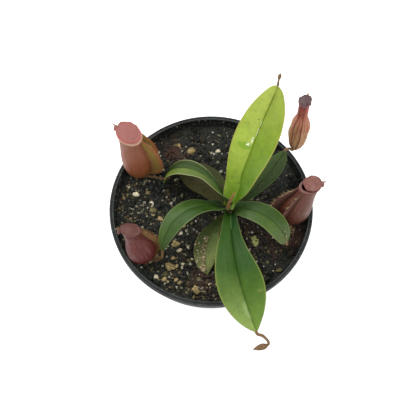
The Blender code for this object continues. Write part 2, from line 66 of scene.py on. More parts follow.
class Finish:
    """A material under way: its one Principled shader, and short calls for the nodes that feed it."""

    def __init__(self, name, roughness=0.5, **sockets):
        self.made = bpy.data.materials.new(name)
        self.made.use_nodes = True
        self.tree = self.made.node_tree
        self.shader = self.tree.nodes["Principled BSDF"]
        self.shader.inputs["Roughness"].default_value = roughness
        for words, value in sockets.items():
            self.shader.inputs[words.replace("_", " ").title().replace("Ior", "IOR")].default_value = value
        spots = self.node("TexCoord")
        self.place = spots.outputs["Object"]
        self.sheet = spots.outputs["UV"]

    def node(self, kind, sockets=None, **settings):
        """A node of that kind, with its sockets fed and its settings made."""
        made = self.tree.nodes.new("ShaderNode" + kind)
        for key, value in settings.items():
            setattr(made, key, value)
        for key, value in (sockets or {}).items():
            self.feed(made.inputs[key], value)
        return made

    def feed(self, socket, value):
        """A socket takes another node's output, a value, or a shade of 0 to 255."""
        if isinstance(value, bpy.types.NodeSocket):
            self.tree.links.new(value, socket)
        else:
            shade = socket.type == "RGBA" and len(value) == 3
            socket.default_value = paint(*value) if shade else value

    def math(self, operation, a, b=0.0, c=0.0):
        """Arithmetic on numbers or on other nodes' outputs."""
        return self.node("Math", {0: a, 1: b, 2: c}, operation=operation).outputs[0]

    def plus(self, a, b):
        return self.math("ADD", a, b)

    def minus(self, a, b):
        return self.math("SUBTRACT", a, b)

    def times(self, a, b):
        return self.math("MULTIPLY", a, b)

    def scaled(self, value, factor, more):
        """The value times the factor, plus some more."""
        return self.math("MULTIPLY_ADD", value, factor, more)

    def far(self, x, y):
        """How far (x, y) is from zero."""
        return self.math("SQRT", self.plus(self.times(x, x), self.times(y, y)))

    def noise(self, place, scale, detail, rough):
        """Noise from 0 to 1, read at a place."""
        sockets = {"Vector": place, "Scale": scale, "Detail": detail, "Roughness": rough}
        return self.node("TexNoise", sockets).outputs[0]

    def grain(self, size, detail=3.0, rough=0.55, at=None):
        """Noise from 0 to 1 whose lumps are that many millimetres across."""
        return self.noise(at or self.place, 1.0 / (size * MM), detail, rough)

    def streaks(self, across, along, stretch, scale, rough=0.6):
        """Noise from 0 to 1 over two measures of the surface, the second of them stretched."""
        place = self.node("CombineXYZ", {0: across, 1: self.times(along, stretch)}).outputs[0]
        return self.noise(place, scale, 3.0, rough)

    def thin_lines(self, noise, width):
        """1 where a noise crosses its middle, falling to 0 beside: fine lines that wander and branch."""
        return self.spread(self.math("ABSOLUTE", self.minus(noise, 0.5)), 0.0, width, 1.0, 0.0)

    def cells(self, size, at=None, feature="F1"):
        """Distance from the middles (or the edges) of cells that many millimetres across, about 0 to 1."""
        sockets = {"Vector": at or self.place, "Scale": 1.0 / (size * MM)}
        return self.node("TexVoronoi", sockets, feature=feature).outputs["Distance"]

    def spread(self, value, low, high, bottom=0.0, top=1.0):
        """Eases from bottom to top as the value runs from low to high."""
        sockets = {"Value": value, "From Min": low, "From Max": high, "To Min": bottom, "To Max": top}
        return self.node("MapRange", sockets, interpolation_type="SMOOTHSTEP").outputs[0]

    def mapped(self, **settings):
        """The piece's own coordinates, turned and stretched, to draw a grain out one way."""
        return self.node("Mapping", {"Vector": self.place, **settings}).outputs[0]

    def mix(self, share, a, b, blend="MIX"):
        """Colour a turning into b by that share."""
        made = self.node("Mix", {0: share, 6: a, 7: b}, data_type="RGBA", blend_type=blend)
        return made.outputs[2]

    def ramp(self, value, stops):
        """Colour read from stops of (place, colour), where a colour may be a shade of 0 to 255."""
        made = self.node("ValToRGB", {0: value})
        stops = [(place, paint(*colour) if len(colour) == 3 else colour) for place, colour in stops]
        band = made.color_ramp
        band.elements[0].position, band.elements[0].color = stops[0]
        band.elements[1].position, band.elements[1].color = stops[-1]
        for place, colour in stops[1:-1]:
            band.elements.new(place).color = colour
        return made.outputs[0]

    def mark(self, name, kind="Fac"):
        """A number or colour that the mesh itself carries at each of its points."""
        return self.node("Attribute", attribute_name=name).outputs[kind]

    def across_and_along(self):
        """The two shares, 0 to 1, of the piece's own UV map."""
        made = self.node("SeparateXYZ", {0: self.sheet})
        return made.outputs[0], made.outputs[1]

    def colour(self, value):
        """Gives the surface its colour."""
        self.feed(self.shader.inputs["Base Color"], value)

    def gloss(self, value):
        """Gives the surface its roughness, 0 for a mirror and 1 for chalk."""
        self.feed(self.shader.inputs["Roughness"], value)

    def relief(self, height, depth):
        """Raises the surface by that height, 0 to 1, times a depth in millimetres."""
        made = self.node("Bump", {"Height": height, "Distance": depth * MM, "Strength": 1.0})
        self.feed(self.shader.inputs["Normal"], made.outputs[0])


scene = bpy.context.scene
scene.view_settings.view_transform = "Standard"

TABLE_SIZE = 2400.0
table_mesh = bpy.data.meshes.new("table")
corners = np.array([(-1, -1, 0), (1, -1, 0), (1, 1, 0), (-1, 1, 0)]) * TABLE_SIZE / 2 * MM
table_mesh.from_pydata(corners.tolist(), [], [(0, 1, 2, 3)])
table = bpy.data.objects.new("table", table_mesh)
scene.collection.objects.link(table)
white_laminate = Finish("white_laminate", 0.7, emission_color=(1.0, 1.0, 1.0, 1.0), emission_strength=0.45)
white_laminate.colour(white_laminate.mix(white_laminate.grain(40.0), (250, 250, 250), (254, 254, 254)))
table_mesh.materials.append(white_laminate.made)

SURROUND_STRENGTH = 0.86
surround = bpy.data.worlds.new("studio_surround")
surround.use_nodes = True
surround.node_tree.nodes["Background"].inputs["Color"].default_value = (1.0, 1.0, 1.0, 1.0)
surround.node_tree.nodes["Background"].inputs["Strength"].default_value = SURROUND_STRENGTH
scene.world = surround


def soft_light(name, place, target, size, power):
    """A square studio light of that size, in metres, that shines from its place to the target."""
    lamp = bpy.data.lights.new(name, "AREA")
    lamp.shape = "SQUARE"
    lamp.size = size
    lamp.energy = power
    made = bpy.data.objects.new(name, lamp)
    made.location = place
    made.rotation_mode = "QUATERNION"
    made.rotation_quaternion = (Vector(target) - Vector(place)).to_track_quat("-Z", "Y")
    scene.collection.objects.link(made)


LIT_MIDDLE = (0.0, 0.0, 0.08)
soft_light("key_light", (-0.42, 0.30, 0.80), LIT_MIDDLE, size=0.36, power=4.0)
soft_light("side_light", (0.60, -0.35, 0.60), LIT_MIDDLE, size=0.50, power=2.2)

CAMERA_PLACE = Vector((0.0, -0.1209, 0.3870))
CAMERA_TARGET = Vector((-0.0016, -0.0015, 0.0800))
LENS_LENGTH = 55.385
SENSOR_WIDTH = 36.0
camera_data = bpy.data.cameras.new("camera")
camera_data.lens = LENS_LENGTH
camera_data.sensor_width = SENSOR_WIDTH
camera_data.clip_start = 0.01
camera = bpy.data.objects.new("camera", camera_data)
camera.location = CAMERA_PLACE
camera.rotation_mode = "QUATERNION"
camera.rotation_quaternion = (CAMERA_TARGET - CAMERA_PLACE).to_track_quat("-Z", "Y")
scene.collection.objects.link(camera)
scene.camera = camera

# ---------------------------------------------------------------- pot
# A round nursery pot, injection moulded from black polypropylene: a tapered wall, a wider collar, a
# rolled lip, and a base with a foot ring, a raised middle and eight drain holes.

RIM_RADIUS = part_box("pot")[1].x / MM
POT_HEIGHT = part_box("pot")[1].z / MM
BASE_RADIUS = 35.0
POT_WALL = 1.0
LIP_OVERHANG = 1.3
LIP_DEPTH = 3.6
COLLAR_FOOT = POT_HEIGHT - 14.0
COLLAR_STEP = 1.6  # how much wider the collar is than the wall below it
COLLAR_TAPER = 0.8
STEP_HEIGHT = 1.5
FLOOR_ROUND = 1.5
LIP_ROUND = 0.75
FOOT_RECESS = 1.2
FLOOR = POT_WALL + FOOT_RECESS
DRAIN_HOLES = 8
DRAIN_RADIUS = 3.6
DRAIN_CIRCLE = 22.5
DRAIN_BAND = (17.5, 27.5)  # the ring of the base that holds the drain holes
POT_TURNS = 256


def weld(points, faces):
    """Merges points that lie within a tenth of a micron, and drops the corners that this makes double."""
    keys = np.round(points * 1e4).astype(np.int64) + (1 << 20)
    keys = (keys[:, 0] << 42) + (keys[:, 1] << 21) + keys[:, 2]
    _, first, merged = np.unique(keys, return_index=True, return_inverse=True)
    return first, merged[faces]


def skin(name, *grids, marks=None, sharp=50.0):
    """A piece skinned over grids of points (rows, columns, 3), or (points, UV) pairs, in millimetres.

    Each four neighbours in a grid make a face. Points that coincide are merged, which closes seams and
    poles, and a quad that loses a corner there becomes a triangle. UV is (column, row) as shares of
    the grid unless it is given. Marks are named numbers for every point, one array for each grid.
    """
    points, quads, sheets = [], [], []
    count = 0
    for grid in grids:
        spots, sheet = grid if isinstance(grid, tuple) else (grid, None)
        rows, columns = spots.shape[:2]
        if sheet is None:
            u, v = np.meshgrid(np.linspace(0, 1, columns), np.linspace(0, 1, rows))
            sheet = np.stack([u, v], axis=-1)
        number = count + np.arange(rows * columns).reshape(rows, columns)
        quad = np.stack([number[:-1, :-1], number[:-1, 1:], number[1:, 1:], number[1:, :-1]], axis=-1)
        points.append(spots.reshape(-1, 3))
        sheets.append(sheet.reshape(-1, 2))
        quads.append(quad.reshape(-1, 4))
        count += rows * columns
    points, quads, sheets = np.vstack(points), np.vstack(quads), np.vstack(sheets)
    first, corners = weld(points, quads)
    doubled = corners == np.roll(corners, -1, axis=1)
    sides = 4 - doubled.sum(axis=1)
    crossed = (corners[:, 0] == corners[:, 2]) | (corners[:, 1] == corners[:, 3])
    kept = (sides >= 3) & ~crossed
    corners, quads, doubled, sides = corners[kept], quads[kept], doubled[kept], sides[kept]
    mesh = bpy.data.meshes.new(name)
    mesh.vertices.add(len(first))
    mesh.vertices.foreach_set("co", (points[first] * MM).astype(np.float32).ravel())
    mesh.loops.add(int(sides.sum()))
    mesh.loops.foreach_set("vertex_index", corners[~doubled].astype(np.int32))
    mesh.polygons.add(len(sides))
    mesh.polygons.foreach_set("loop_start", (np.cumsum(sides) - sides).astype(np.int32))
    sheet_map = mesh.uv_layers.new(name="UVMap")
    sheet_map.data.foreach_set("uv", sheets[quads[~doubled]].astype(np.float32).ravel())
    for word, arrays in (marks or {}).items():
        values = np.concatenate([np.asarray(a, float).reshape(-1) for a in arrays])[first]
        mesh.attributes.new(word, "FLOAT", "POINT").data.foreach_set("value", values.astype(np.float32))
    mesh.update(calc_edges=True)
    return finished(name, mesh, sharp)


def finished(name, mesh, sharp=50.0):
    """Turns the faces outwards, shades the mesh smooth between sharp edges, and makes it an object."""
    bm = bmesh.new()
    bm.from_mesh(mesh)
    bmesh.ops.recalc_face_normals(bm, faces=bm.faces)
    bm.to_mesh(mesh)
    bm.free()
    mesh.shade_smooth()
    mesh.set_sharp_from_angle(angle=np.radians(sharp))
    piece = bpy.data.objects.new(name, mesh)
    scene.collection.objects.link(piece)
    return piece


def place_piece(piece, finish, slot, *nodes):
    """Gives a piece its material, lets it ride, and hides the CAD nodes that it stands for. The slot is not
    used.
    """
    piece.data.materials.append(finish.made)
    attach(piece, "root")
    if nodes:
        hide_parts(*nodes)
    return piece


def round_axis(radius, angle, z):
    """Points (..., 3) at those radii and angles round the Z axis, at those heights."""
    return np.stack([radius * np.cos(angle), radius * np.sin(angle), z + 0 * (radius * angle)], axis=-1)


def spun(x, y, turn):
    """(x, y) turned round zero by an angle in radians."""
    return x * np.cos(turn) - y * np.sin(turn), x * np.sin(turn) + y * np.cos(turn)


def inner_radius(z):
    """Radius of the pot's inside at a height: a tapered wall, then a wider collar."""
    top = RIM_RADIUS - LIP_OVERHANG - POT_WALL
    low, high = BASE_RADIUS - POT_WALL, top - COLLAR_TAPER - COLLAR_STEP
    wall = low + (high - low) * z / COLLAR_FOOT
    collar = top - COLLAR_TAPER * (POT_HEIGHT - z) / (POT_HEIGHT - COLLAR_FOOT)
    return np.where(np.asarray(z) >= COLLAR_FOOT, collar, wall)


def bend(centre, radius, start, end, steps=6):
    """Points of an arc in the (radius, z) plane, between two angles."""
    turn = np.radians(np.linspace(start, end, steps))
    return np.stack([centre[0] + radius * np.cos(turn), centre[1] + radius * np.sin(turn)], axis=-1)


def line(start, end, steps=2):
    """Evenly spaced points of a straight line in the (radius, z) plane."""
    return np.linspace(start, end, steps)


def turned(profile, turns=POT_TURNS):
    """A (radius, z) profile carried once round the Z axis."""
    angle = np.linspace(0, 2 * np.pi, turns + 1)
    return round_axis(profile[:, 0, None], angle, profile[:, 1, None])


step_foot = COLLAR_FOOT - STEP_HEIGHT
outer_step = float(inner_radius(step_foot)) + POT_WALL
collar_outside = float(inner_radius(COLLAR_FOOT)) + POT_WALL
lip_foot = POT_HEIGHT - LIP_DEPTH
under_lip = float(inner_radius(lip_foot)) + POT_WALL
floor_corner = float(inner_radius(FLOOR + FLOOR_ROUND))
wall_heights = np.linspace(FLOOR + FLOOR_ROUND, step_foot, 26)
collar_heights = np.linspace(COLLAR_FOOT, POT_HEIGHT - 0.7, 18)
step_share = np.linspace(0, 1, 7)[1:-1]
step_ease = 0.5 - 0.5 * np.cos(np.pi * step_share)
step_radii = inner_radius(step_foot) + (inner_radius(COLLAR_FOOT) - inner_radius(step_foot)) * step_ease

pot_profile = np.vstack([
    line((DRAIN_BAND[1], FLOOR), (floor_corner - FLOOR_ROUND, FLOOR), 4),
    bend((floor_corner - FLOOR_ROUND, FLOOR + FLOOR_ROUND), FLOOR_ROUND, -80, -10, 5),
    np.stack([inner_radius(wall_heights), wall_heights], axis=-1),
    np.stack([step_radii, step_foot + STEP_HEIGHT * step_share], axis=-1),
    np.stack([inner_radius(collar_heights), collar_heights], axis=-1),
    bend((float(inner_radius(POT_HEIGHT)) + 0.5, POT_HEIGHT - 0.5), 0.5, 170, 90),
    line((RIM_RADIUS - 1.5, POT_HEIGHT - 0.05), (RIM_RADIUS - 1.05, POT_HEIGHT - 0.06), 2),
    bend((RIM_RADIUS - LIP_ROUND, POT_HEIGHT - LIP_ROUND), LIP_ROUND, 88, 0, 9),
    line((RIM_RADIUS, POT_HEIGHT - 1.2), (RIM_RADIUS, lip_foot + 0.4), 5),
    bend((RIM_RADIUS - 0.3, lip_foot + 0.3), 0.3, -10, -90, 4),
    line((RIM_RADIUS - 0.6, lip_foot), (under_lip + 0.3, lip_foot), 3),
    line((under_lip, lip_foot - 0.3), (collar_outside, COLLAR_FOOT - 0.6), 12),
    bend((collar_outside - 0.5, COLLAR_FOOT - 0.9), 0.5, 0, -70, 4),
    line((outer_step + 0.3, COLLAR_FOOT - 1.7), (outer_step, COLLAR_FOOT - 2.2), 2),
    line((outer_step - 0.05, COLLAR_FOOT - 2.5), (BASE_RADIUS + 0.5, 1.3), 30),
    bend((BASE_RADIUS - 0.6, 1.0), 1.0, 0, -90, 6),
    line((BASE_RADIUS - 1.4, 0.0), (BASE_RADIUS - 3.7, 0.0), 3),
    bend((BASE_RADIUS - 4.0, 0.3), 0.3, 270, 190, 4),
    line((BASE_RADIUS - 4.8, FOOT_RECESS), (DRAIN_BAND[1], FOOT_RECESS), 3),
])
base_middle = np.vstack([
    line((DRAIN_BAND[0], FOOT_RECESS), (14.8, FOOT_RECESS), 3),
    bend((14.1, 0.4), 0.4, 10, -90, 4),
    line((12.0, 0.0), (2.2, 0.0), 5),
    bend((1.2, 0.3), 0.5, 0, 90, 4),  # the nub where the plastic was let in, sunk a little
    [(0.0, 0.8)],
])
floor_middle = line((DRAIN_BAND[0], FLOOR), (0.0, FLOOR), 8)


def drain_sector(turn):
    """One share of the base round a drain hole, as loops of points from the hole out to its border."""
    half = 180.0 / DRAIN_HOLES
    arc = np.radians(np.linspace(-half, half, POT_TURNS // DRAIN_HOLES + 1))
    rays = np.stack([np.cos(arc), np.sin(arc)], axis=-1)
    side = np.linspace(DRAIN_BAND[1], DRAIN_BAND[0], 9)[1:-1, None]
    border = np.vstack([
        rays * DRAIN_BAND[1],
        side * rays[-1],
        rays[::-1] * DRAIN_BAND[0],
        side[::-1] * rays[0],
        rays[:1] * DRAIN_BAND[1],
    ])
    centre = np.array([DRAIN_CIRCLE, 0.0])
    away = border - centre
    hole = centre + away / np.linalg.norm(away, axis=1, keepdims=True) * DRAIN_RADIUS
    loops = hole + (border - hole) * np.linspace(0, 1, 5)[:, None, None]
    x, y = spun(loops[..., 0], loops[..., 1], np.radians(turn))
    top = np.stack([x, y, np.full_like(x, FLOOR)], axis=-1)
    bottom = np.stack([x, y, np.full_like(x, FOOT_RECESS)], axis=-1)
    return [top, bottom, np.stack([top[0], bottom[0]])]


pot_patches = [turned(pot_profile), turned(base_middle), turned(floor_middle)]
for hole in range(DRAIN_HOLES):
    pot_patches += drain_sector(hole * 360.0 / DRAIN_HOLES)


def dust_and_lip_highlight(patch):
    """Dust on the inside near the soil, and dust with painted highlight on the lip's top and along its
    edges.
    """
    radius, z = np.hypot(patch[..., 0], patch[..., 1]), patch[..., 2]
    outer, inner = radius - RIM_RADIUS + 0.35, radius - RIM_RADIUS + 1.95
    lip_edge_highlight = np.exp(-(outer / 0.28) ** 2) + np.exp(-(inner / 0.30) ** 2)
    # the lip's top is paler, most of all in thin lines at its outer and inner edges: partly dust, partly
    # painted highlight
    lip = np.clip((z - POT_HEIGHT + 0.9) / 0.8, 0, 1) * (0.22 + 0.78 * np.minimum(lip_edge_highlight, 1))
    inside = np.clip(1.0 - (z - 72.0) / 7.0, 0, 1) ** 0.7 * (radius < inner_radius(z) + 0.3) * (z > 60)
    return np.maximum(lip, 0.4 * inside)


dust_and_highlight_marks = {"dust": [dust_and_lip_highlight(patch) for patch in pot_patches]}
nursery_pot = skin("nursery_pot", *pot_patches, marks=dust_and_highlight_marks, sharp=35.0)

black_plastic = Finish("black_plastic", specular_ior_level=0.07)
mould = black_plastic.grain(0.55, 4.0, 0.7)
cloud = black_plastic.grain(9.0, 4.0)
speck = black_plastic.spread(black_plastic.grain(0.9, 2.0, 0.6), 0.56, 0.70)
dust = black_plastic.mark("dust")
# the pale film is dust on the inside wall, and dust with painted highlight on the lip
dust_and_highlight_film = black_plastic.times(dust, black_plastic.spread(cloud, 0.25, 0.75, 0.45, 1.0))
plastic = black_plastic.mix(cloud, (14, 17, 17), (24, 27, 27))
plastic = black_plastic.mix(dust_and_highlight_film, plastic, (76, 80, 78))
spots = black_plastic.times(speck, black_plastic.scaled(dust, 0.55, 0.10))
black_plastic.colour(black_plastic.mix(spots, plastic, (112, 112, 104)))
black_plastic.gloss(black_plastic.spread(black_plastic.plus(dust_and_highlight_film, mould), 0.2, 1.6, 0.40, 0.68))
black_plastic.relief(black_plastic.scaled(speck, 0.4, mould), 0.10)
place_piece(nursery_pot, black_plastic, "pot_plastic", "pot")

# ---------------------------------------------------------------- potting mix
# Black peat that fills the pot to a little under its lip. It is tipped in and pressed down by hand,
# so its top is level on the whole but clodded, with crumbs of every size lying loose on it.

SOIL_TOP = 72.4
SOIL_GAP = 0.35  # between the mix and the pot's wall
BANK_HEIGHT = 1.5
BANK_WIDTH = 7.0
soil_edge = float(inner_radius(SOIL_TOP)) - SOIL_GAP


def lattice(cell, seed):
    """A number from 0 to 1 for each whole-numbered cell, always the same one for that cell and seed."""
    cell = cell.astype(np.uint64)
    mixed = cell[..., 0] * np.uint64(73856093) ^ cell[..., 1] * np.uint64(19349663)
    mixed = mixed ^ cell[..., 2] * np.uint64(83492791) ^ np.uint64(seed * 2654435761)
    mixed = (mixed ^ (mixed >> np.uint64(15))) * np.uint64(2246822519)
    mixed = (mixed ^ (mixed >> np.uint64(13))) * np.uint64(3266489917)
    return (mixed >> np.uint64(11) & np.uint64(0xFFFFF)).astype(float) / 0xFFFFF


def on_flat(x, y):
    """Points (..., 3) at height zero, to read a pattern at."""
    x, y = np.broadcast_arrays(x, y)
    return np.stack([x, y, 0 * x], axis=-1)


def lumps(points, size, seed):
    """Smooth noise, -1 to 1: a random value at each corner of cubes of that size, eased in between."""
    cell = np.floor(points / size)
    part = points / size - cell
    part = part * part * (3 - 2 * part)
    total = 0.0
    for corner in np.ndindex(2, 2, 2):
        weight = np.where(np.array(corner) == 1, part, 1 - part).prod(axis=-1)
        total = total + weight * lattice(cell + np.array(corner) + 4096, seed)
    return total * 2 - 1


def ground(x, y):
    """Height of the top of the mix: low swells, clods, and crumbs over those, and a bank by the wall."""
    spot = on_flat(x, y)
    swell = 0.40 * lumps(spot, 11.0, 1) + 0.42 * lumps(spot, 4.6, 2)
    clods = 0.40 * np.abs(lumps(spot, 2.3, 3)) + 0.22 * lumps(spot, 1.1, 4) + 0.10 * lumps(spot, 0.6, 5)
    bank = BANK_HEIGHT * np.clip((np.hypot(x, y) - soil_edge + BANK_WIDTH) / BANK_WIDTH, 0, 1) ** 2
    return SOIL_TOP - 0.25 + swell + clods + bank


def soil_surface():
    """The top as a disc of rings over the ground, joined to plain sides and a rough underside."""
    angle = np.linspace(0, 2 * np.pi, 421)
    radius = np.linspace(0, 1, 118)[:, None] * soil_edge
    x, y = radius * np.cos(angle), radius * np.sin(angle)
    top = np.stack([x, y, ground(x, y)], axis=-1)
    top[:, -1] = top[:, 0]
    heights = np.linspace(1, 0, 14)[1:, None] * (SOIL_TOP - FLOOR - 1.8) + FLOOR + 1.8
    side_radius = inner_radius(heights) - SOIL_GAP
    side = round_axis(side_radius, angle, heights)
    low = np.linspace(1, 0, 16)[:, None] * (BASE_RADIUS - 3.6)
    x, y = low * np.cos(angle), low * np.sin(angle)
    under = np.stack([x, y, FLOOR + 0.5 + 0.3 * np.abs(lumps(on_flat(x, y), 2.0, 6))], axis=-1)
    under[:, -1] = under[:, 0]
    return np.concatenate([top, side, under])


RED_PEAT = (104, 72, 62)
RED_PATCHES = [  # (x, y, how far it reaches, how strong)
    (-21.0, 33.5, 5.2, 0.75), (41.0, -13.0, 8.0, 0.7), (-4.0, -38.5, 6.0, 0.5), (20.0, -12.0, 7.0, 0.4)]


def reddish(x, y):
    """How much red-brown, half-rotted peat lies at a place: ragged round patches that fade outwards."""
    spot = on_flat(x, y)
    ragged = 1 + 0.5 * lumps(spot, 3.5, 7) + 0.35 * lumps(spot, 1.2, 8)
    shares = [share * np.exp(-(np.hypot(x - at_x, y - at_y) / reach * ragged) ** 2)
              for at_x, at_y, reach, share in RED_PATCHES]
    return np.max(shares, axis=0)


soil_skin = soil_surface()
red_marks = {"reddish": [reddish(soil_skin[..., 0], soil_skin[..., 1])]}
potting_mix = skin("potting_mix", soil_skin, marks=red_marks, sharp=180.0)

peat = Finish("black_peat", 0.95, specular_ior_level=0.12)
fibre = peat.grain(0.5, 6.0, 0.7)
crumb = peat.cells(1.5)
patch = peat.spread(peat.grain(14.0, 3.0), 0.42, 0.62)
dark = peat.mix(patch, (44, 49, 47), (57, 57, 51))
dark = peat.mix(peat.spread(fibre, 0.40, 0.72), dark, (66, 65, 58))
dark = peat.mix(peat.mark("reddish"), dark, RED_PEAT)
peat.colour(peat.mix(peat.spread(crumb, 0.25, 0.85, 0.0, 0.4), dark, (26, 29, 28)))
peat.relief(peat.plus(fibre, peat.times(crumb, 0.6)), 0.45)
place_piece(potting_mix, peat, "potting_soil", "soil")

# ---------------------------------------------------------------- crumbs of the mix
# What lies loose on the top: dark peat crumbs, white expanded perlite, tan and brown bark, grit and a
# few plant fibres. They are thickest at the front left and thin out towards the right and the back.


def headings(azimuth, elevation):
    """Unit vectors (..., 3) of azimuths and elevations."""
    a, e = np.broadcast_arrays(np.radians(azimuth), np.radians(elevation))
    return np.stack([np.cos(e) * np.cos(a), np.cos(e) * np.sin(a), np.sin(e)], axis=-1)


def unit(vectors):
    """Each vector brought to a length of one."""
    return vectors / np.linalg.norm(vectors, axis=-1, keepdims=True)


def turns_of(rng, count):
    """Random rotations, as matrices (count, 3, 3), from random unit quaternions."""
    w, x, y, z = unit(rng.normal(size=(count, 4))).T
    return np.stack([
        np.stack([1 - 2 * (y * y + z * z), 2 * (x * y - w * z), 2 * (x * z + w * y)], axis=-1),
        np.stack([2 * (x * y + w * z), 1 - 2 * (x * x + z * z), 2 * (y * z - w * x)], axis=-1),
        np.stack([2 * (x * z - w * y), 2 * (y * z + w * x), 1 - 2 * (x * x + y * y)], axis=-1),
    ], axis=1)


def twenty_sides():
    """The twelve corners of an icosahedron of radius one, and its twenty triangles."""
    gold = (1 + 5 ** 0.5) / 2
    corners = [(a, b * gold, 0) for a in (-1, 1) for b in (-1, 1)]
    corners = np.array([np.roll(corner, k) for k in range(3) for corner in corners], float)
    near = np.linalg.norm(corners[:, None] - corners[None], axis=-1) < 2.1
    faces = [
        (i, j, k)
        for i in range(12) for j in range(i + 1, 12) for k in range(j + 1, 12)
        if near[i, j] and near[j, k] and near[i, k]
    ]
    faces = np.array(faces)
    a, b, c = corners[faces].transpose(1, 0, 2)
    inward = np.einsum("ij,ij->i", np.cross(b - a, c - a), a) < 0
    faces[inward] = faces[inward][:, ::-1]
    return corners / np.linalg.norm(corners[0]), faces


BALL, BALL_FACES = twenty_sides()


def rough_grains(rng, sizes, ragged=0.3):
    """Corners (count, 12, 3) of little lumps about zero: icosahedra whose corners are pushed in or out."""
    return BALL * rng.uniform(1 - ragged, 1 + ragged, (len(sizes), 12, 1)) * sizes[:, None, None] / 2


def many(name, corners, faces, shade=None, smooth=False):
    """One piece from many like shapes: corners (count, n, 3) in millimetres, and the faces of one shape."""
    count, size = corners.shape[:2]
    all_faces = (faces[None] + (np.arange(count) * size)[:, None, None]).reshape(-1, faces.shape[1])
    mesh = bpy.data.meshes.new(name)
    mesh.vertices.add(count * size)
    mesh.vertices.foreach_set("co", (corners * MM).astype(np.float32).ravel())
    mesh.loops.add(all_faces.size)
    mesh.loops.foreach_set("vertex_index", all_faces.astype(np.int32).ravel())
    mesh.polygons.add(len(all_faces))
    mesh.polygons.foreach_set("loop_start", np.arange(0, all_faces.size, faces.shape[1], dtype=np.int32))
    if shade is not None:
        colour = np.repeat(np.column_stack([shade, np.ones(count)]), size, axis=0)
        carried = mesh.attributes.new("shade", "FLOAT_COLOR", "POINT")
        carried.data.foreach_set("color", colour.astype(np.float32).ravel())
    mesh.update(calc_edges=True)
    if smooth:
        mesh.shade_smooth()
    piece = bpy.data.objects.new(name, mesh)
    scene.collection.objects.link(piece)
    return piece


def shades_between(rng, count, *colours):
    """A random mixture of the given colours for each of that many pieces, light and dark."""
    weights = rng.dirichlet(np.full(len(colours), 0.5), count)
    mixed = weights @ np.array([paint(*colour)[:3] for colour in colours])
    return mixed * rng.uniform(0.75, 1.15, (count, 1))


def strewn(rng, spots, sizes, flatness, ragged=0.35):
    """Corners (count, 12, 3) of rough little lumps that lie on the ground at those (x, y) spots."""
    count = len(spots)
    push = rng.uniform(1 - ragged, 1 + ragged, (count, 12, 1))
    stretch = np.stack([np.ones(count), rng.uniform(0.55, 0.95, count), np.full(count, flatness)], axis=-1)
    shapes = BALL * push * (stretch * sizes[:, None] / 2)[:, None, :]
    tip = turns_of(rng, count)
    spin = rng.uniform(0, 2 * np.pi, count)
    flat = np.zeros((count, 3, 3))
    flat[:, 0, 0] = flat[:, 1, 1] = np.cos(spin)
    flat[:, 1, 0], flat[:, 0, 1] = np.sin(spin), -np.sin(spin)
    flat[:, 2, 2] = 1.0
    loose = flatness > 0.6
    shapes = np.einsum("nij,nkj->nki", tip if loose else flat, shapes)
    lean = rng.normal(0, 0.22, (count, 2))
    shapes[..., 2] += shapes[..., 0] * lean[:, :1] + shapes[..., 1] * lean[:, 1:]
    sunk = shapes[..., 2].min(axis=1) + sizes * flatness * 0.22
    height = ground(spots[:, 0], spots[:, 1]) - sunk
    return shapes + np.column_stack([spots, height])[:, None, :]


def scatter(rng, count, lean_left=0.0):
    """Random (x, y) spots inside the pot. The lean says how many more of them lie at the front left."""
    drawn = []
    while sum(map(len, drawn)) < count:
        radius = (soil_edge - 1.2) * np.sqrt(rng.uniform(0, 1, count * 2))
        angle = rng.uniform(0, 2 * np.pi, count * 2)
        spot = np.stack([radius * np.cos(angle), radius * np.sin(angle)], axis=-1)
        side = -(spot[:, 0] * 0.75 + spot[:, 1] * 0.66) / soil_edge
        clump = lumps(on_flat(spot[:, 0], spot[:, 1]), 9.0, 11)
        chance = 1.0 / (1.0 + np.exp(-lean_left * (side * 2.2 + clump * 0.9)))
        drawn.append(spot[rng.uniform(0, 1, len(spot)) < chance])
    return np.vstack(drawn)[:count]


loose_finish = Finish("loose_crumbs", 0.9, specular_ior_level=0.15)
own_shade = loose_finish.mark("shade", "Color")
pits = loose_finish.spread(loose_finish.grain(0.35, 3.0, 0.6), 0.35, 0.65)
loose_finish.colour(loose_finish.mix(pits, loose_finish.mix(0.35, own_shade, (36, 36, 30)), own_shade))
loose_finish.relief(pits, 0.15)

# (name, slot, how many, smallest, largest, flatness, lean to the front left, shades)
CRUMB_SORTS = [
    ("peat_crumbs", "potting_soil", 5200, 0.5, 2.4, 0.75, 0.2,
     [(40, 45, 43), (74, 72, 62), (54, 59, 55)]),
    ("peat_clods", "potting_soil", 420, 2.0, 4.6, 0.62, 0.4,
     [(40, 45, 43), (74, 66, 54), (54, 59, 55)]),
    ("grit", "perlite", 2100, 0.22, 0.9, 0.8, 0.1,
     [(204, 198, 178), (140, 134, 114), (104, 104, 94), (120, 112, 84)]),
    ("perlite_grains", "perlite", 460, 0.7, 2.3, 0.8, 1.1,
     [(232, 226, 206), (206, 196, 164), (180, 176, 156), (128, 130, 108)]),
    ("bark_crumbs", "bark", 420, 0.7, 2.6, 0.7, 1.9,
     [(128, 114, 80), (84, 70, 52), (186, 168, 126), (66, 58, 46)]),
    ("bark_flakes", "bark", 210, 1.4, 4.2, 0.32, 2.4,
     [(140, 126, 86), (96, 84, 58), (188, 170, 126), (84, 66, 52), (110, 112, 76)]),
]
for seed, (name, slot, count, least, most, flatness, lean, colours) in enumerate(CRUMB_SORTS, start=20):
    rng = np.random.default_rng(seed)
    sizes = least * (most / least) ** (rng.uniform(0, 1, count) ** 1.7)
    spots = scatter(rng, count, lean)
    shades = shades_between(rng, count, *colours)
    if slot == "potting_soil":
        tint = reddish(spots[:, 0], spots[:, 1])[:, None]
        shades = shades + (np.array(paint(*RED_PEAT)[:3]) * 1.1 - shades) * tint
    crumbs = many(name, strewn(rng, spots, sizes, flatness), BALL_FACES, shades)
    place_piece(crumbs, loose_finish, slot)


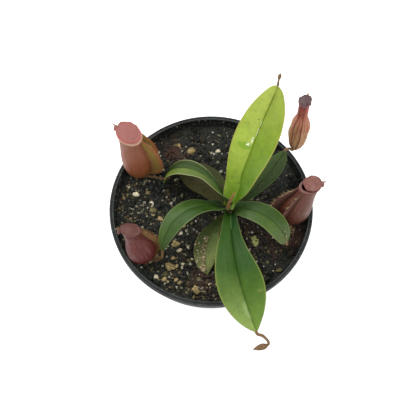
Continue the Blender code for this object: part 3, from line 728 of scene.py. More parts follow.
# (x, y, longest side, kind) of the largest loose grains, which lie mostly at the front left
LARGE_GRAINS = [
    (-33, 0, 1.7, "tan"), (-30, -3, 2.0, "tan"), (-18, 37, 2.8, "tan"), (-28, 21, 2.8, "tan"),
    (-19, 17, 2.4, "cream"), (-16, 8, 3.0, "olive"), (-20, 6, 2.3, "olive"), (3, 28, 2.4, "olive"),
    (4, 44, 2.6, "olive"), (0, 46, 1.2, "white"), (8, 46, 1.4, "olive"), (1, 33, 1.5, "white"),
    (1, 22, 1.8, "white"), (-26, -5, 3.8, "tan"), (-25, -9, 3.3, "tan"), (-14, -9, 2.4, "tan"),
    (-8, -6, 1.9, "white"), (-9, -11, 2.0, "white"), (-10, -17, 1.8, "white"), (-16, -22, 3.0, "cream"),
    (-19, -26, 3.0, "tan"), (-17, -31, 3.4, "tan"), (-14, -30, 2.3, "cream"), (-9, -27, 1.9, "cream"),
    (-23, -38, 3.6, "tan"), (-17, -38, 3.0, "tan"), (-26, -38, 1.8, "tan"), (-35, -32, 1.9, "white"),
    (-5, -35, 1.8, "white"), (0, -40, 2.4, "cream"), (-17, -42, 2.1, "white"), (-6, -31, 1.9, "olive"),
    (24, -20, 1.8, "white"), (33, -29, 1.5, "white"), (27, -30, 1.1, "white"), (18, -12, 1.9, "tan"),
]
GRAIN_SHADES = {
    "tan": (200, 174, 124),
    "cream": (242, 226, 184),
    "olive": (132, 138, 106),
    "white": (246, 244, 236),
}
rng = np.random.default_rng(28)
large = np.array([grain[:3] for grain in LARGE_GRAINS])
large_shades = np.array([paint(*GRAIN_SHADES[grain[3]])[:3] for grain in LARGE_GRAINS])
large_spots = large[:, :2] + rng.normal(0, 0.2, (len(large), 2))
large_shapes = strewn(rng, large_spots, large[:, 2], 0.62)
place_piece(many("large_grains", large_shapes, BALL_FACES, large_shades), loose_finish, "perlite")

# grains that cling to the wall above the mix, most of them low down
rng = np.random.default_rng(29)
CLINGING = 700
turn = rng.uniform(0, 2 * np.pi, CLINGING)
rise = SOIL_TOP + 0.8 + 6.0 * rng.uniform(0, 1, CLINGING) ** 1.6
sizes = rng.uniform(0.2, 0.7, CLINGING)
away = inner_radius(rise) - sizes * 0.15
clinging = rough_grains(rng, sizes) + round_axis(away, turn, rise)[:, None]
clinging_shade = shades_between(rng, CLINGING, (58, 60, 54), (96, 96, 84), (46, 48, 44), (190, 186, 168))
place_piece(many("wall_grit", clinging, BALL_FACES, clinging_shade), loose_finish, "potting_soil")


def lump(rng, spot, size, flatness, roughness, seed, rows=26, columns=36, raised=0.0):
    """One larger piece: a sphere of rings, squashed, knocked flat here and there, and roughened by noise."""
    down = np.linspace(0, np.pi, rows)[:, None]
    ball = round_axis(np.sin(down), np.linspace(0, 2 * np.pi, columns + 1), np.cos(down))
    ball[:, -1] = ball[:, 0]
    shift = np.array([seed * 3.7, 0.0, 0.0])
    push = 1 + 0.30 * lumps(ball + shift, 0.8, seed) + roughness * lumps(ball + shift, 0.22, seed + 1)
    push = push - 0.5 * roughness * np.abs(lumps(ball + shift, 0.11, seed + 2))
    for facet in headings(rng.uniform(0, 360, 7), rng.uniform(-60, 60, 7)):
        push = np.minimum(push, 0.86 / np.maximum(0.2, ball @ facet))
    shape = ball * push[..., None] * np.array([1.0, rng.uniform(0.6, 0.85), flatness]) * size / 2
    turn = rng.uniform(0, 2 * np.pi)
    x, y = spun(shape[..., 0], shape[..., 1], turn)
    height = float(ground(np.array([spot[0]]), np.array([spot[1]]))[0])
    lift = height - shape[..., 2].min() - size * flatness * 0.16 + raised
    return np.stack([x + spot[0], y + spot[1], shape[..., 2] + lift], axis=-1)


perlite_finish = Finish(
    "expanded_perlite", 0.9, subsurface_weight=0.15, subsurface_scale=0.4 * MM, specular_ior_level=0.2)
bubbles = perlite_finish.cells(0.55)
warm = perlite_finish.grain(1.6, 3.0)
shade = perlite_finish.mix(warm, (238, 232, 212), (205, 190, 150))
pores = perlite_finish.spread(bubbles, 0.0, 0.35, 0.7, 0.0)
perlite_finish.colour(perlite_finish.mix(pores, shade, (120, 104, 76)))
perlite_finish.relief(bubbles, 0.22)

bark_finish = Finish("pine_bark", 0.85, specular_ior_level=0.2)
split = bark_finish.mapped(Rotation=(0.0, 0.4, 0.7), Scale=(0.35, 2.0, 2.4))
stripe = bark_finish.grain(1.0, 5.0, 0.65, at=split)
tone = bark_finish.ramp(bark_finish.spread(stripe, 0.3, 0.7), [
    (0.0, (78, 64, 40)), (0.45, (138, 120, 76)), (0.8, (184, 164, 116)), (1.0, (212, 196, 152))])
rotted = bark_finish.spread(bark_finish.grain(3.0), 0.5, 0.75)
bark_finish.colour(bark_finish.mix(rotted, tone, (66, 48, 34)))
bark_finish.relief(stripe, 0.3)

# (x, y, longest side) of the pieces that are big enough to be parts of their own
PERLITE = [
    (-39.8, 8.2, 3.8),
    (-31.4, 3.0, 3.6),
    (-15.9, -12.9, 2.8),
    (-11.1, -20.7, 2.6),
    (3.4, 34.8, 2.8),
    (-27.4, -36.7, 3.0),
    (24.6, 34.0, 2.6),
]
BARK = [
    (-17.8, -18.9, 5.2),
    (-20.5, -30.9, 5.6),
    (22.8, -17.1, 6.2),
    (-11.3, 34.2, 4.8),
    (-6.9, -43.3, 5.0),
]
for number, (x, y, size) in enumerate(PERLITE, start=1):
    shape = lump(np.random.default_rng(40 + number), (x, y), size, 0.7, 0.16, number)
    grain = skin(f"perlite_grain_{number}", shape)
    place_piece(grain, perlite_finish, "perlite", f"perlite_{number}")

scrap_finish = Finish("yellowed_scrap", 0.8, specular_ior_level=0.2)
faded = scrap_finish.spread(scrap_finish.grain(1.3), 0.35, 0.65)
scrap_finish.colour(scrap_finish.mix(faded, (176, 176, 112), (156, 158, 96)))
SCRAP = 3  # the one that is a yellowed scrap of leaf
for number, (x, y, size) in enumerate(BARK, start=1):
    flatness, raised = (0.20, 0.7) if number == SCRAP else (0.38, 0.1)
    chip = skin(f"bark_chip_{number}", lump(
        np.random.default_rng(60 + number), (x, y), size, flatness, 0.22, 30 + number, raised=raised))
    place_piece(chip, scrap_finish if number == SCRAP else bark_finish, "bark", f"bark_{number}")


def strands(rng, roots, aims, lengths, radii, curl=0.1, joints=6):
    """Corners and faces of many thin strands, each a row of four-cornered rings that narrows to its tip.

    A strand runs from its root along its aim, and bows aside at its middle by curl times its length.
    """
    count = len(roots)
    share = np.linspace(0, 1, joints)
    aims = unit(aims)
    aside = unit(np.cross(aims, rng.normal(size=(count, 3))))
    other = np.cross(aims, aside)
    bow = (rng.uniform(0.3, 1.0, count) * curl * lengths)[:, None] * np.sin(np.pi * share)
    run = lengths[:, None] * share
    spine = roots[:, None] + aims[:, None] * run[..., None] + aside[:, None] * bow[..., None]
    angle = np.arange(4) * np.pi / 2
    ring = aside[:, None] * np.cos(angle)[:, None] + other[:, None] * np.sin(angle)[:, None]
    thick = radii[:, None] * (1 - 0.9 * share ** 1.5)
    corners = spine[:, :, None] + ring[:, None] * thick[..., None, None]
    number = np.arange(joints * 4).reshape(joints, 4)
    after = np.roll(number, -1, axis=1)
    sides = np.stack([number[:-1], after[:-1], after[1:], number[1:]], axis=-1).reshape(-1, 4)
    return corners.reshape(count, -1, 3), np.vstack([sides, number[:1, ::-1], number[-1:]])


rng = np.random.default_rng(31)
FIBRES = 110
fibre_spots = scatter(rng, FIBRES, 0.8)
fibre_height = ground(fibre_spots[:, 0], fibre_spots[:, 1]) + rng.uniform(0.1, 0.6, FIBRES)
fibre_aims = headings(rng.uniform(0, 360, FIBRES), rng.normal(0, 9, FIBRES))
fibre_shapes, strand_faces = strands(
    rng, np.column_stack([fibre_spots, fibre_height]), fibre_aims,
    rng.uniform(1.5, 5.5, FIBRES), rng.uniform(0.06, 0.16, FIBRES), 0.08)
fibre_shades = shades_between(rng, FIBRES, (140, 122, 88), (96, 78, 56), (184, 170, 132), (60, 50, 40))
fibres = many("peat_fibres", fibre_shapes, strand_faces, fibre_shades, smooth=True)
place_piece(fibres, loose_finish, "bark")

# ---------------------------------------------------------------- stem
# A short green stem rooted in the mix just right of the middle. The bases of its leaves clasp it all
# the way up, and the dried brown sheaths of lost ones still hang round it.

STEM_FOOT = np.array([8.0, -4.2, SOIL_TOP - 7.0])
STEM_TIP = np.array([10.2, -6.6, 95.0])
STEM_RADIUS = 1.5


def stem_axis(height):
    """Points on the stem's axis at those heights."""
    share = (np.asarray(height, float) - STEM_FOOT[2]) / (STEM_TIP[2] - STEM_FOOT[2])
    return STEM_FOOT + (STEM_TIP - STEM_FOOT) * share[..., None]


def tube(route, radii, turns=24, bulge=None):
    """A closed tube: rings of those radii square to a route of points, with a pole at each end.

    The rings' first direction is carried along the route, each time squared to it again, so that the
    tube doesn't twist. The bulge is added to the radius, by ring and by turn.
    """
    ahead = unit(np.gradient(route, axis=0))
    across = np.empty_like(route)
    last = np.array([1.0, 0.3, 0.2])
    for i, way in enumerate(ahead):
        last = unit(last - way * (last @ way))
        across[i] = last
    up = np.cross(ahead, across)
    angle = np.linspace(0, 2 * np.pi, turns + 1)
    reach = np.broadcast_to(np.asarray(radii, float)[:, None], (len(route), turns + 1)).copy()
    if bulge is not None:
        reach += bulge
        reach[:, -1] = reach[:, 0]
    rings = across[:, None] * np.cos(angle)[:, None] + up[:, None] * np.sin(angle)[:, None]
    rings[:, -1] = rings[:, 0]
    points = route[:, None] + rings * reach[..., None]
    first = np.broadcast_to(route[0], points[:1].shape)
    final = np.broadcast_to(route[-1], points[:1].shape)
    return np.concatenate([first, points, final])


stem_heights = np.linspace(STEM_FOOT[2], STEM_TIP[2], 90)
stem_radii = np.interp(
    stem_heights, [60.0, SOIL_TOP, 80.0, 90.0, 94.0, 95.0], [1.5, 1.75, 1.6, 1.45, 1.1, 0.75])
scars = 0.16 * np.exp(-(((stem_heights + 0.6) % 3.1 - 1.5) / 0.35) ** 2)
stem_skin = tube(stem_axis(stem_heights), stem_radii + scars, 40)

stem_finish = Finish("green_stem", 0.6, specular_ior_level=0.3)
bands = stem_finish.grain(1.4, 4.0)
stem_finish.colour(stem_finish.ramp(stem_finish.spread(bands, 0.3, 0.7), [
    (0.0, (70, 72, 34)), (0.5, (106, 112, 52)), (1.0, (92, 74, 44))]))
stem_finish.relief(bands, 0.2)
place_piece(skin("green_stem_core", stem_skin), stem_finish, "stem_green", "stem")

# (height of its foot, azimuth of its middle, how far round it reaches, height, lean outwards)
SHEATHS = [
    (73.0, 200, 150, 6.0, 0.50),
    (74.0, 20, 160, 5.0, 0.65),
    (77.0, 280, 120, 5.5, 0.40),
    (78.5, 95, 140, 5.5, 0.45),
    (82.5, 215, 130, 5.0, 0.30),
    (85.0, 330, 120, 4.6, 0.34),
    (90.0, 262, 90, 4.2, 0.16),
    (91.5, 230, 130, 4.0, 0.30),
]


def sheath_skin(foot, azimuth, reach, height, lean, seed):
    """A scrap of leaf base: part of a tube round the stem that opens upwards and ends in a torn edge."""
    up, turn = np.meshgrid(np.linspace(0, 1, 18), np.linspace(-1, 1, 30), indexing="ij")
    angle = azimuth + reach / 2 * turn * (1 - 0.35 * up)
    torn = lumps(on_flat(turn * 2.2, 0 * up) + seed * 5.0, 0.45, 70 + seed)
    rise = height * up * (0.75 + 0.35 * torn) * (1 - 0.35 * turn ** 2)
    away = STEM_RADIUS + 0.35 + lean * rise + 0.25 * lumps(on_flat(turn, up), 0.3, 80 + seed)
    centre = stem_axis(foot + rise)
    outside = centre + headings(angle, 0 * angle) * away[..., None]
    inside = centre + headings(angle, 0 * angle) * (away - 0.28)[..., None]
    return wrapped(outside, inside)


def wrapped(front, back):
    """Rows that run out over a front face, come back over the rear one, and meet their first point."""
    return np.concatenate([front, back[:, ::-1], front[:, :1]], axis=1)


def flattened(rings):
    """Rings (rows, columns, 3) of a thin blade, closed at each end by a strip between its two faces."""
    half = (rings.shape[1] - 1) // 2
    ends = []
    for ring in (rings[0], rings[-1]):
        top, bottom = ring[:half], ring[half:2 * half][::-1]
        ends.append(np.stack([top, bottom]))
    return ends


dry_finish = Finish("dried_sheath", 0.75, specular_ior_level=0.2)
streak = dry_finish.grain(0.7, 4.0, 0.6, at=dry_finish.mapped(Scale=(1.6, 1.6, 0.35)))
dry_finish.colour(dry_finish.ramp(dry_finish.spread(streak, 0.3, 0.7), [
    (0.0, (50, 38, 26)), (0.5, (88, 74, 46)), (1.0, (122, 112, 68))]))
dry_finish.relief(streak, 0.15)
for number, (foot, azimuth, reach, height, lean) in enumerate(SHEATHS, start=1):
    rings = sheath_skin(foot, azimuth, reach, height, lean, number)
    sheath = skin(f"dried_sheath_{number}", rings, *flattened(rings))
    place_piece(sheath, dry_finish, "stem_green")

# ---------------------------------------------------------------- leaves
# Eight strap-shaped blades round the stem, leathery and slightly glossy, each with a sunken midrib,
# fine veins along it and a thin pale margin. Its base narrows to a channel that clasps the stem.


@dataclass
class Leaf:
    """One blade: an arc that leaves the stem at rise and ends at fall, with its width and its turns."""

    name: str
    height: float  # where it leaves the stem
    azimuth: float  # the way it leaves the stem
    turn: float  # how far it swings round from there to its tip
    rise: float  # its slope where it leaves the stem
    fall: float  # its slope at its tip
    length: float
    width: float
    roll_base: float  # how far its foot is rolled about its midrib
    roll_tip: float
    widest: float
    blunt: float
    petiole: float  # how wide its foot is
    keel: float  # how far its halves fold up
    slot: str
    # The half shades are the leaf's own colour, and on some leaves also painted light and shade: a half
    # turned from the key light or lying under another leaf is painted darker, and the tip of leaf_front is
    # painted lighter.
    left: tuple  # shades of its left half at the base, the middle and the tip
    right: tuple
    rib: tuple  # shades of the midrib, low down and towards the tip
    margin: tuple
    wave: float = 0.35  # how far its margins ripple
    wax: float = 0.34  # how strongly its skin mirrors
    slim: float = 0.0  # how much narrower one half is above its foot
    groove: float = 0.03  # depth of the furrow over the midrib
    blots: tuple = ()  # (across, along, half its width and length in mm, shade, strength, broken up)


# Painted light and shade in the half shades: leaf_front's left half is painted darker near its foot, as
# shade, and its tip is painted lighter, as light from the white table under it; the right halves of
# leaf_back_left and leaf_old_front are painted darker, as shade.
LEAVES = [
    Leaf("leaf_top", 93.5, 71, -7, 36, 23, 60.0, 21.6, -37, 46, 1.26, 0.44, 0.32, 12, "young_leaf",
         ((112, 144, 36), (164, 184, 80), (174, 190, 84)), ((88, 122, 32), (122, 148, 50), (156, 172, 74)),
         ((158, 184, 80), (92, 120, 42)), (176, 160, 84), 0.25, 0.34, 0.0, 0.12,
         # the near-white blots are painted highlights, glints of water on the blade; the green blots are the
         # leaf's own darker marks
         ((0.42, 0.63, 0.7, 4.6, (236, 240, 214), 1.0, True),
          (0.33, 0.53, 0.9, 2.0, (240, 244, 222), 1.0, True),
          (0.22, 0.47, 3.6, 1.9, (112, 150, 30), 0.85, False),
          (0.27, 0.485, 1.2, 0.9, (236, 240, 214), 1.0, True),
          (0.26, 0.70, 0.8, 0.3, (84, 112, 30), 0.9, False),
          (0.45, 0.25, 0.9, 0.35, (60, 88, 26), 0.9, False))),
    Leaf("leaf_front", 91.0, -92, 28, 24, -30, 62.0, 22.6, 17, -5, 1.41, 0.81, 0.20, 12, "mature_leaf",
         ((42, 72, 24), (62, 90, 42), (118, 146, 70)), ((60, 86, 38), (66, 92, 40), (148, 170, 98)),
         ((112, 140, 90), (56, 82, 34)), (146, 152, 84), 0.3, 0.18, 0.20, 0.10,
         ((0.07, 0.70, 0.9, 0.7, (116, 124, 60), 0.55, False),
          (0.05, 0.71, 0.35, 0.3, (112, 86, 48), 0.7, False),
          # the thin pale streak is a painted highlight, and the broad pale patch after it is painted light
          # where the leaf hangs over the white table; the two blots above are scars
          (0.42, 0.88, 0.5, 3.0, (206, 218, 178), 0.8, True),
          (0.62, 0.82, 3.4, 4.6, (156, 180, 116), 0.5, False))),
    Leaf("leaf_left", 88.5, 171, 91, 46, -65, 48.0, 15.4, 60, -9, 0.55, 0.74, 0.26, 4, "mature_leaf",
         ((62, 82, 46), (66, 90, 48), (76, 94, 56)), ((58, 80, 42), (76, 100, 54), (80, 96, 58)),
         ((84, 108, 62), (84, 106, 62)), (140, 156, 104), 0.45, 0.34, 0.0, -0.04),
    Leaf("leaf_right", 90.2, -3, -58, 35, -53, 34.5, 13.4, -9, -21, 1.26, 0.42, 0.28, 3, "mature_leaf",
         ((60, 82, 44), (66, 88, 48), (74, 94, 52)), ((68, 90, 50), (80, 102, 54), (84, 100, 54)),
         ((84, 108, 62), (86, 108, 62)), (140, 150, 92), 0.3, 0.34, 0.0, -0.04),
    Leaf("leaf_back_left", 91.0, 122, 60, 40, -84, 52.5, 19.6, 77, 10, 0.93, 0.43, 0.18, 2, "mature_leaf",
         ((62, 84, 34), (106, 124, 54), (120, 136, 70)), ((56, 80, 36), (68, 88, 46), (62, 68, 44)),
         ((96, 116, 54), (104, 118, 62)), (214, 214, 160), 0.5, 0.2),
    Leaf("leaf_old_back_left", 82.0, 114, 49, 16, -34, 38.5, 17.4, 10, 0, 1.10, 0.80, 0.18, 8, "old_leaf",
         ((100, 98, 64), (112, 106, 78), (104, 100, 74)), ((76, 80, 48), (66, 70, 46), (64, 66, 46)),
         ((94, 94, 54), (90, 88, 56)), (96, 90, 62), 0.6, 0.2),
    Leaf("leaf_back_right", 85.4, 38, 26, 26, -25, 45.0, 11.8, -41, 0, 1.20, 0.80, 0.20, 10, "old_leaf",
         ((78, 96, 56), (70, 88, 54), (72, 88, 58)), ((60, 78, 50), (66, 82, 52), (70, 84, 56)),
         ((84, 98, 60), (80, 94, 60)), (104, 116, 74), 0.4, 0.24),
    Leaf("leaf_old_front", 82.0, -142, 70, 4, -29, 33.0, 13.4, 54, 0, 1.10, 0.70, 0.20, 6, "old_leaf",
         ((100, 116, 72), (112, 128, 80), (136, 144, 96)), ((96, 110, 66), (94, 108, 66), (120, 126, 86)),
         ((136, 142, 92), (140, 144, 96)), (150, 140, 94), 0.5, 0.2),
]
BLADE = 0.5  # thickness of a blade beside its midrib
SHEEN = 0.026  # what a waxy skin mirrors of the white surround, whatever its own shade


def under_sheen(shade):
    """The body colour of a waxy skin that shows that shade once the surround's sheen lies over it."""
    body = (np.array(paint(*shade)[:3]) - SHEEN) * 0.92
    return (*np.maximum(body, 0.004).tolist(), 1.0)


def half_width(leaf, share):
    """Half the blade's width: a skewed sine that narrows to the petiole, which widens into the stem."""
    share = np.asarray(share, float)
    petiole = (leaf.petiole + 0.10) * (1 - np.clip(share, -0.2, 1)) ** 2.6
    swell = np.sin(np.pi * np.clip(share, 0, 0.9985) ** leaf.widest) ** leaf.blunt
    return np.maximum(0.45, leaf.width / 2 * (petiole + (1 - np.minimum(petiole, 1)) * swell))


def clearance(leaf):
    """How far from the stem's axis the blade proper starts."""
    root = leaf.width / 2 * leaf.petiole
    tilt_back = abs(np.sin(np.radians(leaf.roll_base))) * np.sin(np.radians(leaf.rise))
    return STEM_RADIUS + 0.55 + root * tilt_back


def midrib(leaf, shares):
    """Points, and forward, left and up directions, along a leaf at those shares of its length.

    The heading turns and falls evenly, so the midrib is the running sum of small steps that way. Below
    zero it goes straight back into the stem. The blade is rolled about it by roll_base to roll_tip.
    """
    shares = np.asarray(shares, float)
    fine = np.linspace(0, 1, 321)
    way = headings(leaf.azimuth + leaf.turn * fine, leaf.rise + (leaf.fall - leaf.rise) * fine)
    run = np.vstack([np.zeros(3), np.cumsum((way[1:] + way[:-1]) / 2, axis=0) / 320]) * leaf.length
    start = stem_axis(leaf.height) + headings(leaf.azimuth, 0.0) * clearance(leaf)
    point = start + np.stack([np.interp(shares, fine, run[:, k]) for k in range(3)], axis=-1)
    point = point + np.minimum(shares, 0)[..., None] * leaf.length * way[0]
    on = np.clip(shares, 0, 1)
    forward = headings(leaf.azimuth + leaf.turn * on, leaf.rise + (leaf.fall - leaf.rise) * on)
    left = headings(leaf.azimuth + leaf.turn * on + 90.0, 0 * on)
    up = np.cross(forward, left)
    roll = np.radians(leaf.roll_base + (leaf.roll_tip - leaf.roll_base) * on)[..., None]
    return point, forward, left * np.cos(roll) + up * np.sin(roll), up * np.cos(roll) - left * np.sin(roll)


def blade_points(leaf, share, across, seed):
    """Points of the upper face, for shares along and across (-1 left, 1 right), and the way up there.

    Across, the two halves fold up at the keel angle from a rounded midrib; near the stem they curl on
    into a channel. On that lie a groove over the midrib, a slight crown in each half, ripples that
    grow towards the margin, and a broad unevenness.
    """
    point, _, left, up = midrib(leaf, share)
    waist = 1 - leaf.slim * np.exp(-((share - 0.28) / 0.22) ** 2) * np.clip(-across * 4, 0, 1)
    reach = half_width(leaf, share) * waist * across
    channel = np.radians(80.0) * np.clip(1 - share / 0.16, 0, 1.2) ** 1.5 + 1e-4
    bow = channel * np.abs(across)
    sideways = reach * np.sin(bow) / np.maximum(bow, 1e-4)
    curled = np.abs(reach) * (1 - np.cos(bow)) / np.maximum(bow, 1e-4)
    keel = np.radians(leaf.keel)
    soft = np.sqrt(sideways ** 2 + 0.5) - np.sqrt(0.5)
    away = np.abs(across)
    open_ = np.clip((share - 0.05) / 0.2, 0, 1) * np.clip((1 - share) / 0.08, 0, 1)
    spot = on_flat(share * leaf.length, reach)
    ripple = leaf.wave * away ** 3 * lumps(spot * [1, 0.3, 0] + np.sign(across)[..., None] * 50, 5.5, seed)
    uneven = 0.30 * lumps(spot, 9.0, seed + 1) * away ** 0.7
    crown = 0.045 * leaf.width * np.sin(np.pi * np.clip(away, 0, 1)) ** 1.2
    groove = -leaf.groove * np.exp(-(reach / 0.8) ** 2) * np.clip((share - 0.3) / 0.3, 0, 1)
    lines = 0.05 * np.cos(away * np.pi * 9)
    relief = ripple + uneven + crown + groove + lines * (away < 0.93)
    height = curled + soft * np.sin(keel) + open_ * relief
    return point - left * (sideways * np.cos(keel))[..., None] + up * height[..., None], up


def blade_skin(leaf, seed, rows=150, columns=44):
    """The upper face, and under it the lower face a blade's thickness down, with the midrib's ridge."""
    start = -(clearance(leaf) - 0.4) / leaf.length
    share = np.concatenate([np.linspace(start, 0, 6)[:-1], 1 - (1 - np.linspace(0, 1, rows)) ** 1.15])
    across = np.sin(np.linspace(-1, 1, columns) * np.pi / 2) * 0.35 + np.linspace(-1, 1, columns) * 0.65
    share, across = np.meshgrid(share, across, indexing="ij")
    top, up = blade_points(leaf, share, across, seed)
    away = np.abs(across)
    thin = BLADE * (1 - 0.72 * away ** 5) * np.clip((1.03 - share) / 0.10, 0.6, 1)
    ridge = 0.75 * np.exp(-(across * half_width(leaf, share) / 0.75) ** 2) * np.clip(1.15 - share, 0.15, 1)
    under = top - up * (thin + ridge)[..., None]
    sheet = np.stack([across * 0.5 + 0.5, share], axis=-1)
    return wrapped(top, under), wrapped(sheet, sheet), wrapped(0 * share, 0 * share + 1)


def leaf_finish(leaf):
    """Shades along each half, a rib, fine veins, mottling, a pale margin, and a waxy uneven gloss."""
    old = leaf.slot == "old_leaf"
    young = leaf.slot == "young_leaf"
    made = Finish(f"{leaf.name}_surface", subsurface_weight=0.06, subsurface_scale=0.5 * MM,
                  subsurface_radius=(0.5, 1.0, 0.2), specular_ior_level=leaf.wax)
    across, along = made.across_and_along()
    away = made.times(made.math("ABSOLUTE", made.minus(across, 0.5)), 2.0)
    wander = made.scaled(made.grain(9.0, 3.0), 0.16, made.plus(along, -0.08))
    stops = (0.02, 0.5, 0.97)
    left = made.ramp(wander, [(at, under_sheen(shade)) for at, shade in zip(stops, leaf.left)])
    right = made.ramp(wander, [(at, under_sheen(shade)) for at, shade in zip(stops, leaf.right)])
    # each half takes its own shades, which on some leaves are painted light and shade
    tone = made.mix(made.spread(across, 0.44, 0.56), left, right)
    cloud = made.spread(made.grain(5.0, 4.0, 0.6), 0.3, 0.7)
    tone = made.mix(0.30, tone, made.mix(cloud, (150, 150, 140), (214, 214, 196)), "SOFT_LIGHT")
    patches = made.spread(made.grain(2.1, 3.0), 0.50, 0.72)
    tone = made.mix(made.times(patches, 0.45 if old else 0.20), tone, (48, 46, 30) if old else (46, 66, 24))
    vein = made.streaks(made.times(across, leaf.width), made.times(along, leaf.length), 0.07, 2.6)
    veins = made.spread(vein, 0.40, 0.62)
    pale_vein = (196, 206, 150) if young else (196, 206, 180)
    tone = made.mix(made.times(veins, 0.20), tone, pale_vein, "SOFT_LIGHT")
    net = made.cells(0.95, feature="DISTANCE_TO_EDGE")
    meshwork = made.spread(net, 0.02, 0.16, 1.0, 0.0)
    tone = made.mix(made.times(meshwork, 0.10), tone, (96, 122, 40) if young else (88, 112, 64))
    rib = made.times(made.spread(away, 0.015, 0.07, 1.0, 0.0), 0.5)
    tone = made.mix(rib, tone, made.mix(made.spread(wander, 0.45, 0.62), *map(under_sheen, leaf.rib)))
    if old:
        blot = made.spread(made.grain(3.4, 5.0, 0.7), 0.56, 0.70)
        tone = made.mix(made.times(blot, 0.6), tone, (104, 92, 60))
    edge = made.spread(made.scaled(made.grain(1.2), 0.02, away), 0.965, 1.0)
    tone = made.mix(made.times(edge, 0.55), tone, under_sheen(leaf.margin))
    specks = made.spread(made.cells(2.6), 0.05, 0.09, 0.55, 0.0)
    tone = made.mix(specks, tone, (70, 66, 30) if not old else (150, 134, 92))
    broken = made.spread(made.grain(0.55, 2.0, 0.6), 0.46, 0.54)
    ragged = made.scaled(made.grain(1.5, 3.0), 0.9, -0.45)
    for u, v, half_across, half_along, shade, strength, is_broken in leaf.blots:
        x = made.times(made.minus(across, u), leaf.width / half_across)
        y = made.times(made.minus(along, v), leaf.length / half_along)
        inside = made.spread(made.plus(made.far(x, y), ragged), 0.7, 1.1, strength, 0.0)
        tone = made.mix(made.times(inside, broken) if is_broken else inside, tone, paint(*shade))
    below = made.mark("below")
    pale = made.mix(0.45, tone, (140, 160, 80) if young else (84, 102, 62))
    made.colour(made.mix(below, tone, pale))
    fine = made.grain(0.28, 3.0, 0.6)
    base_gloss = 0.50 if old else 0.33
    made.gloss(made.spread(made.plus(cloud, fine), 0.4, 1.6, base_gloss, base_gloss + 0.18))
    bumps = made.scaled(veins, 0.5, made.times(net, 0.5))
    made.relief(made.scaled(fine, 0.35, bumps), 0.10)
    return made


for number, leaf in enumerate(LEAVES):
    ring, sheet, below = blade_skin(leaf, 200 + number * 10)
    blade = skin(f"{leaf.name}_blade", (ring, sheet), *flattened(ring),
                 marks={"below": [below, *[np.zeros(end.shape[:2]) for end in flattened(ring)]]}, sharp=70.0)
    place_piece(blade, leaf_finish(leaf), leaf.slot, leaf.name)

# ---------------------------------------------------------------- grit on the leaves
# Watering has splashed grains of the mix on to the lower leaves, and they have dried on: most on the
# old leaf at the front, a few on the tip of the right-hand one.

# (leaf, how many, along from and to, across from and to, smallest, largest)
SPLASHES = [
    ("leaf_old_front", 230, 0.40, 0.93, 0.10, 0.98, 0.3, 1.4),
    ("leaf_old_front", 60, 0.30, 0.95, -0.9, 0.2, 0.2, 0.6),
    ("leaf_right", 30, 0.74, 0.98, -0.9, 0.9, 0.2, 0.65),
]
for number, (word, count, near, far, inner, outer, least, most) in enumerate(SPLASHES, start=1):
    rng = np.random.default_rng(700 + number)
    order = [leaf.name for leaf in LEAVES].index(word)
    along, across = rng.uniform(near, far, count), rng.uniform(inner, outer, count)
    spots, up = blade_points(LEAVES[order], along, across, 200 + order * 10)
    sizes = least * (most / least) ** (rng.uniform(0, 1, count) ** 1.8)
    shapes = rough_grains(rng, sizes)
    shapes = np.einsum("nij,nkj->nki", turns_of(rng, count), shapes)
    corners = shapes + (spots + up * sizes[:, None] * 0.2)[:, None]
    shade = shades_between(rng, count, (214, 192, 140), (232, 222, 190), (164, 140, 96), (120, 100, 70))
    splashed = many(f"splashed_grit_{number}", corners, BALL_FACES, shade)
    place_piece(splashed, loose_finish, "perlite")

# ---------------------------------------------------------------- newest leaf
# The youngest leaf is still rolled into a spear on the stem's tip: two brown-haired edges wound round
# each other, with the rudiment of its tendril standing out of the top.

spear_foot = STEM_TIP + np.array([-2.1, -0.5, 0.35])
spear_rise = np.array([(-0.1, 0.0, -1.8), (0.0, 0.0, 0.0), (1.0, 0.4, 8.0), (2.9, 1.5, 16.2)])
spear_points = spear_foot + spear_rise


def smooth_route(points, steps):
    """Catmull-Rom curve: between each two points a cubic that is aimed by the points before and after."""
    padded = np.vstack([points[0] * 2 - points[1], points, points[-1] * 2 - points[-2]])
    a, b, c, d = (padded[k:len(padded) - 3 + k, None] for k in range(4))
    t = (np.arange(steps) / steps)[None, :, None]
    square, cube = a * 2 - b * 5 + c * 4 - d, b * 3 - a - c * 3 + d
    curve = 0.5 * (b * 2 + (c - a) * t + square * t ** 2 + cube * t ** 3)
    return np.vstack([curve.reshape(-1, 3), points[-1]])


spear_route = smooth_route(spear_points, 26)
spear_share = np.linspace(0, 1, len(spear_route))
spear_radii = np.interp(
    spear_share, [0, 0.12, 0.35, 0.55, 0.75, 0.9, 1.0], [0.6, 0.68, 0.68, 0.62, 0.52, 0.4, 0.2])
spear_turns = np.linspace(0, 2 * np.pi, 29)
winding = np.maximum(0, np.cos(spear_turns[None] - spear_share[:, None] * 7.0))
rolled_edge = 0.22 * winding ** 3 * spear_radii[:, None]

spear_finish = Finish(
    "rolled_leaf", 0.55, subsurface_weight=0.1, subsurface_scale=0.5 * MM, specular_ior_level=0.3)
_, spear_along = spear_finish.across_and_along()
hairs_tone = spear_finish.spread(spear_finish.grain(0.5, 4.0, 0.7), 0.35, 0.65)
spear_shade = spear_finish.ramp(spear_along, [
    (0.0, (96, 96, 42)), (0.3, (114, 92, 46)), (0.65, (136, 98, 52)), (1.0, (144, 102, 60))])
spear_finish.colour(spear_finish.mix(hairs_tone, spear_shade, (150, 134, 96), "SOFT_LIGHT"))
spear_finish.relief(hairs_tone, 0.15)
spear = skin("rolled_new_leaf", tube(spear_route, spear_radii, 28, rolled_edge))
place_piece(spear, spear_finish, "young_leaf", "new_leaf_spear")

bristle_finish = Finish("tan_hairs", 0.8, specular_ior_level=0.2)
bristle_finish.colour(bristle_finish.mix(bristle_finish.grain(0.8), (178, 146, 98), (210, 186, 146)))


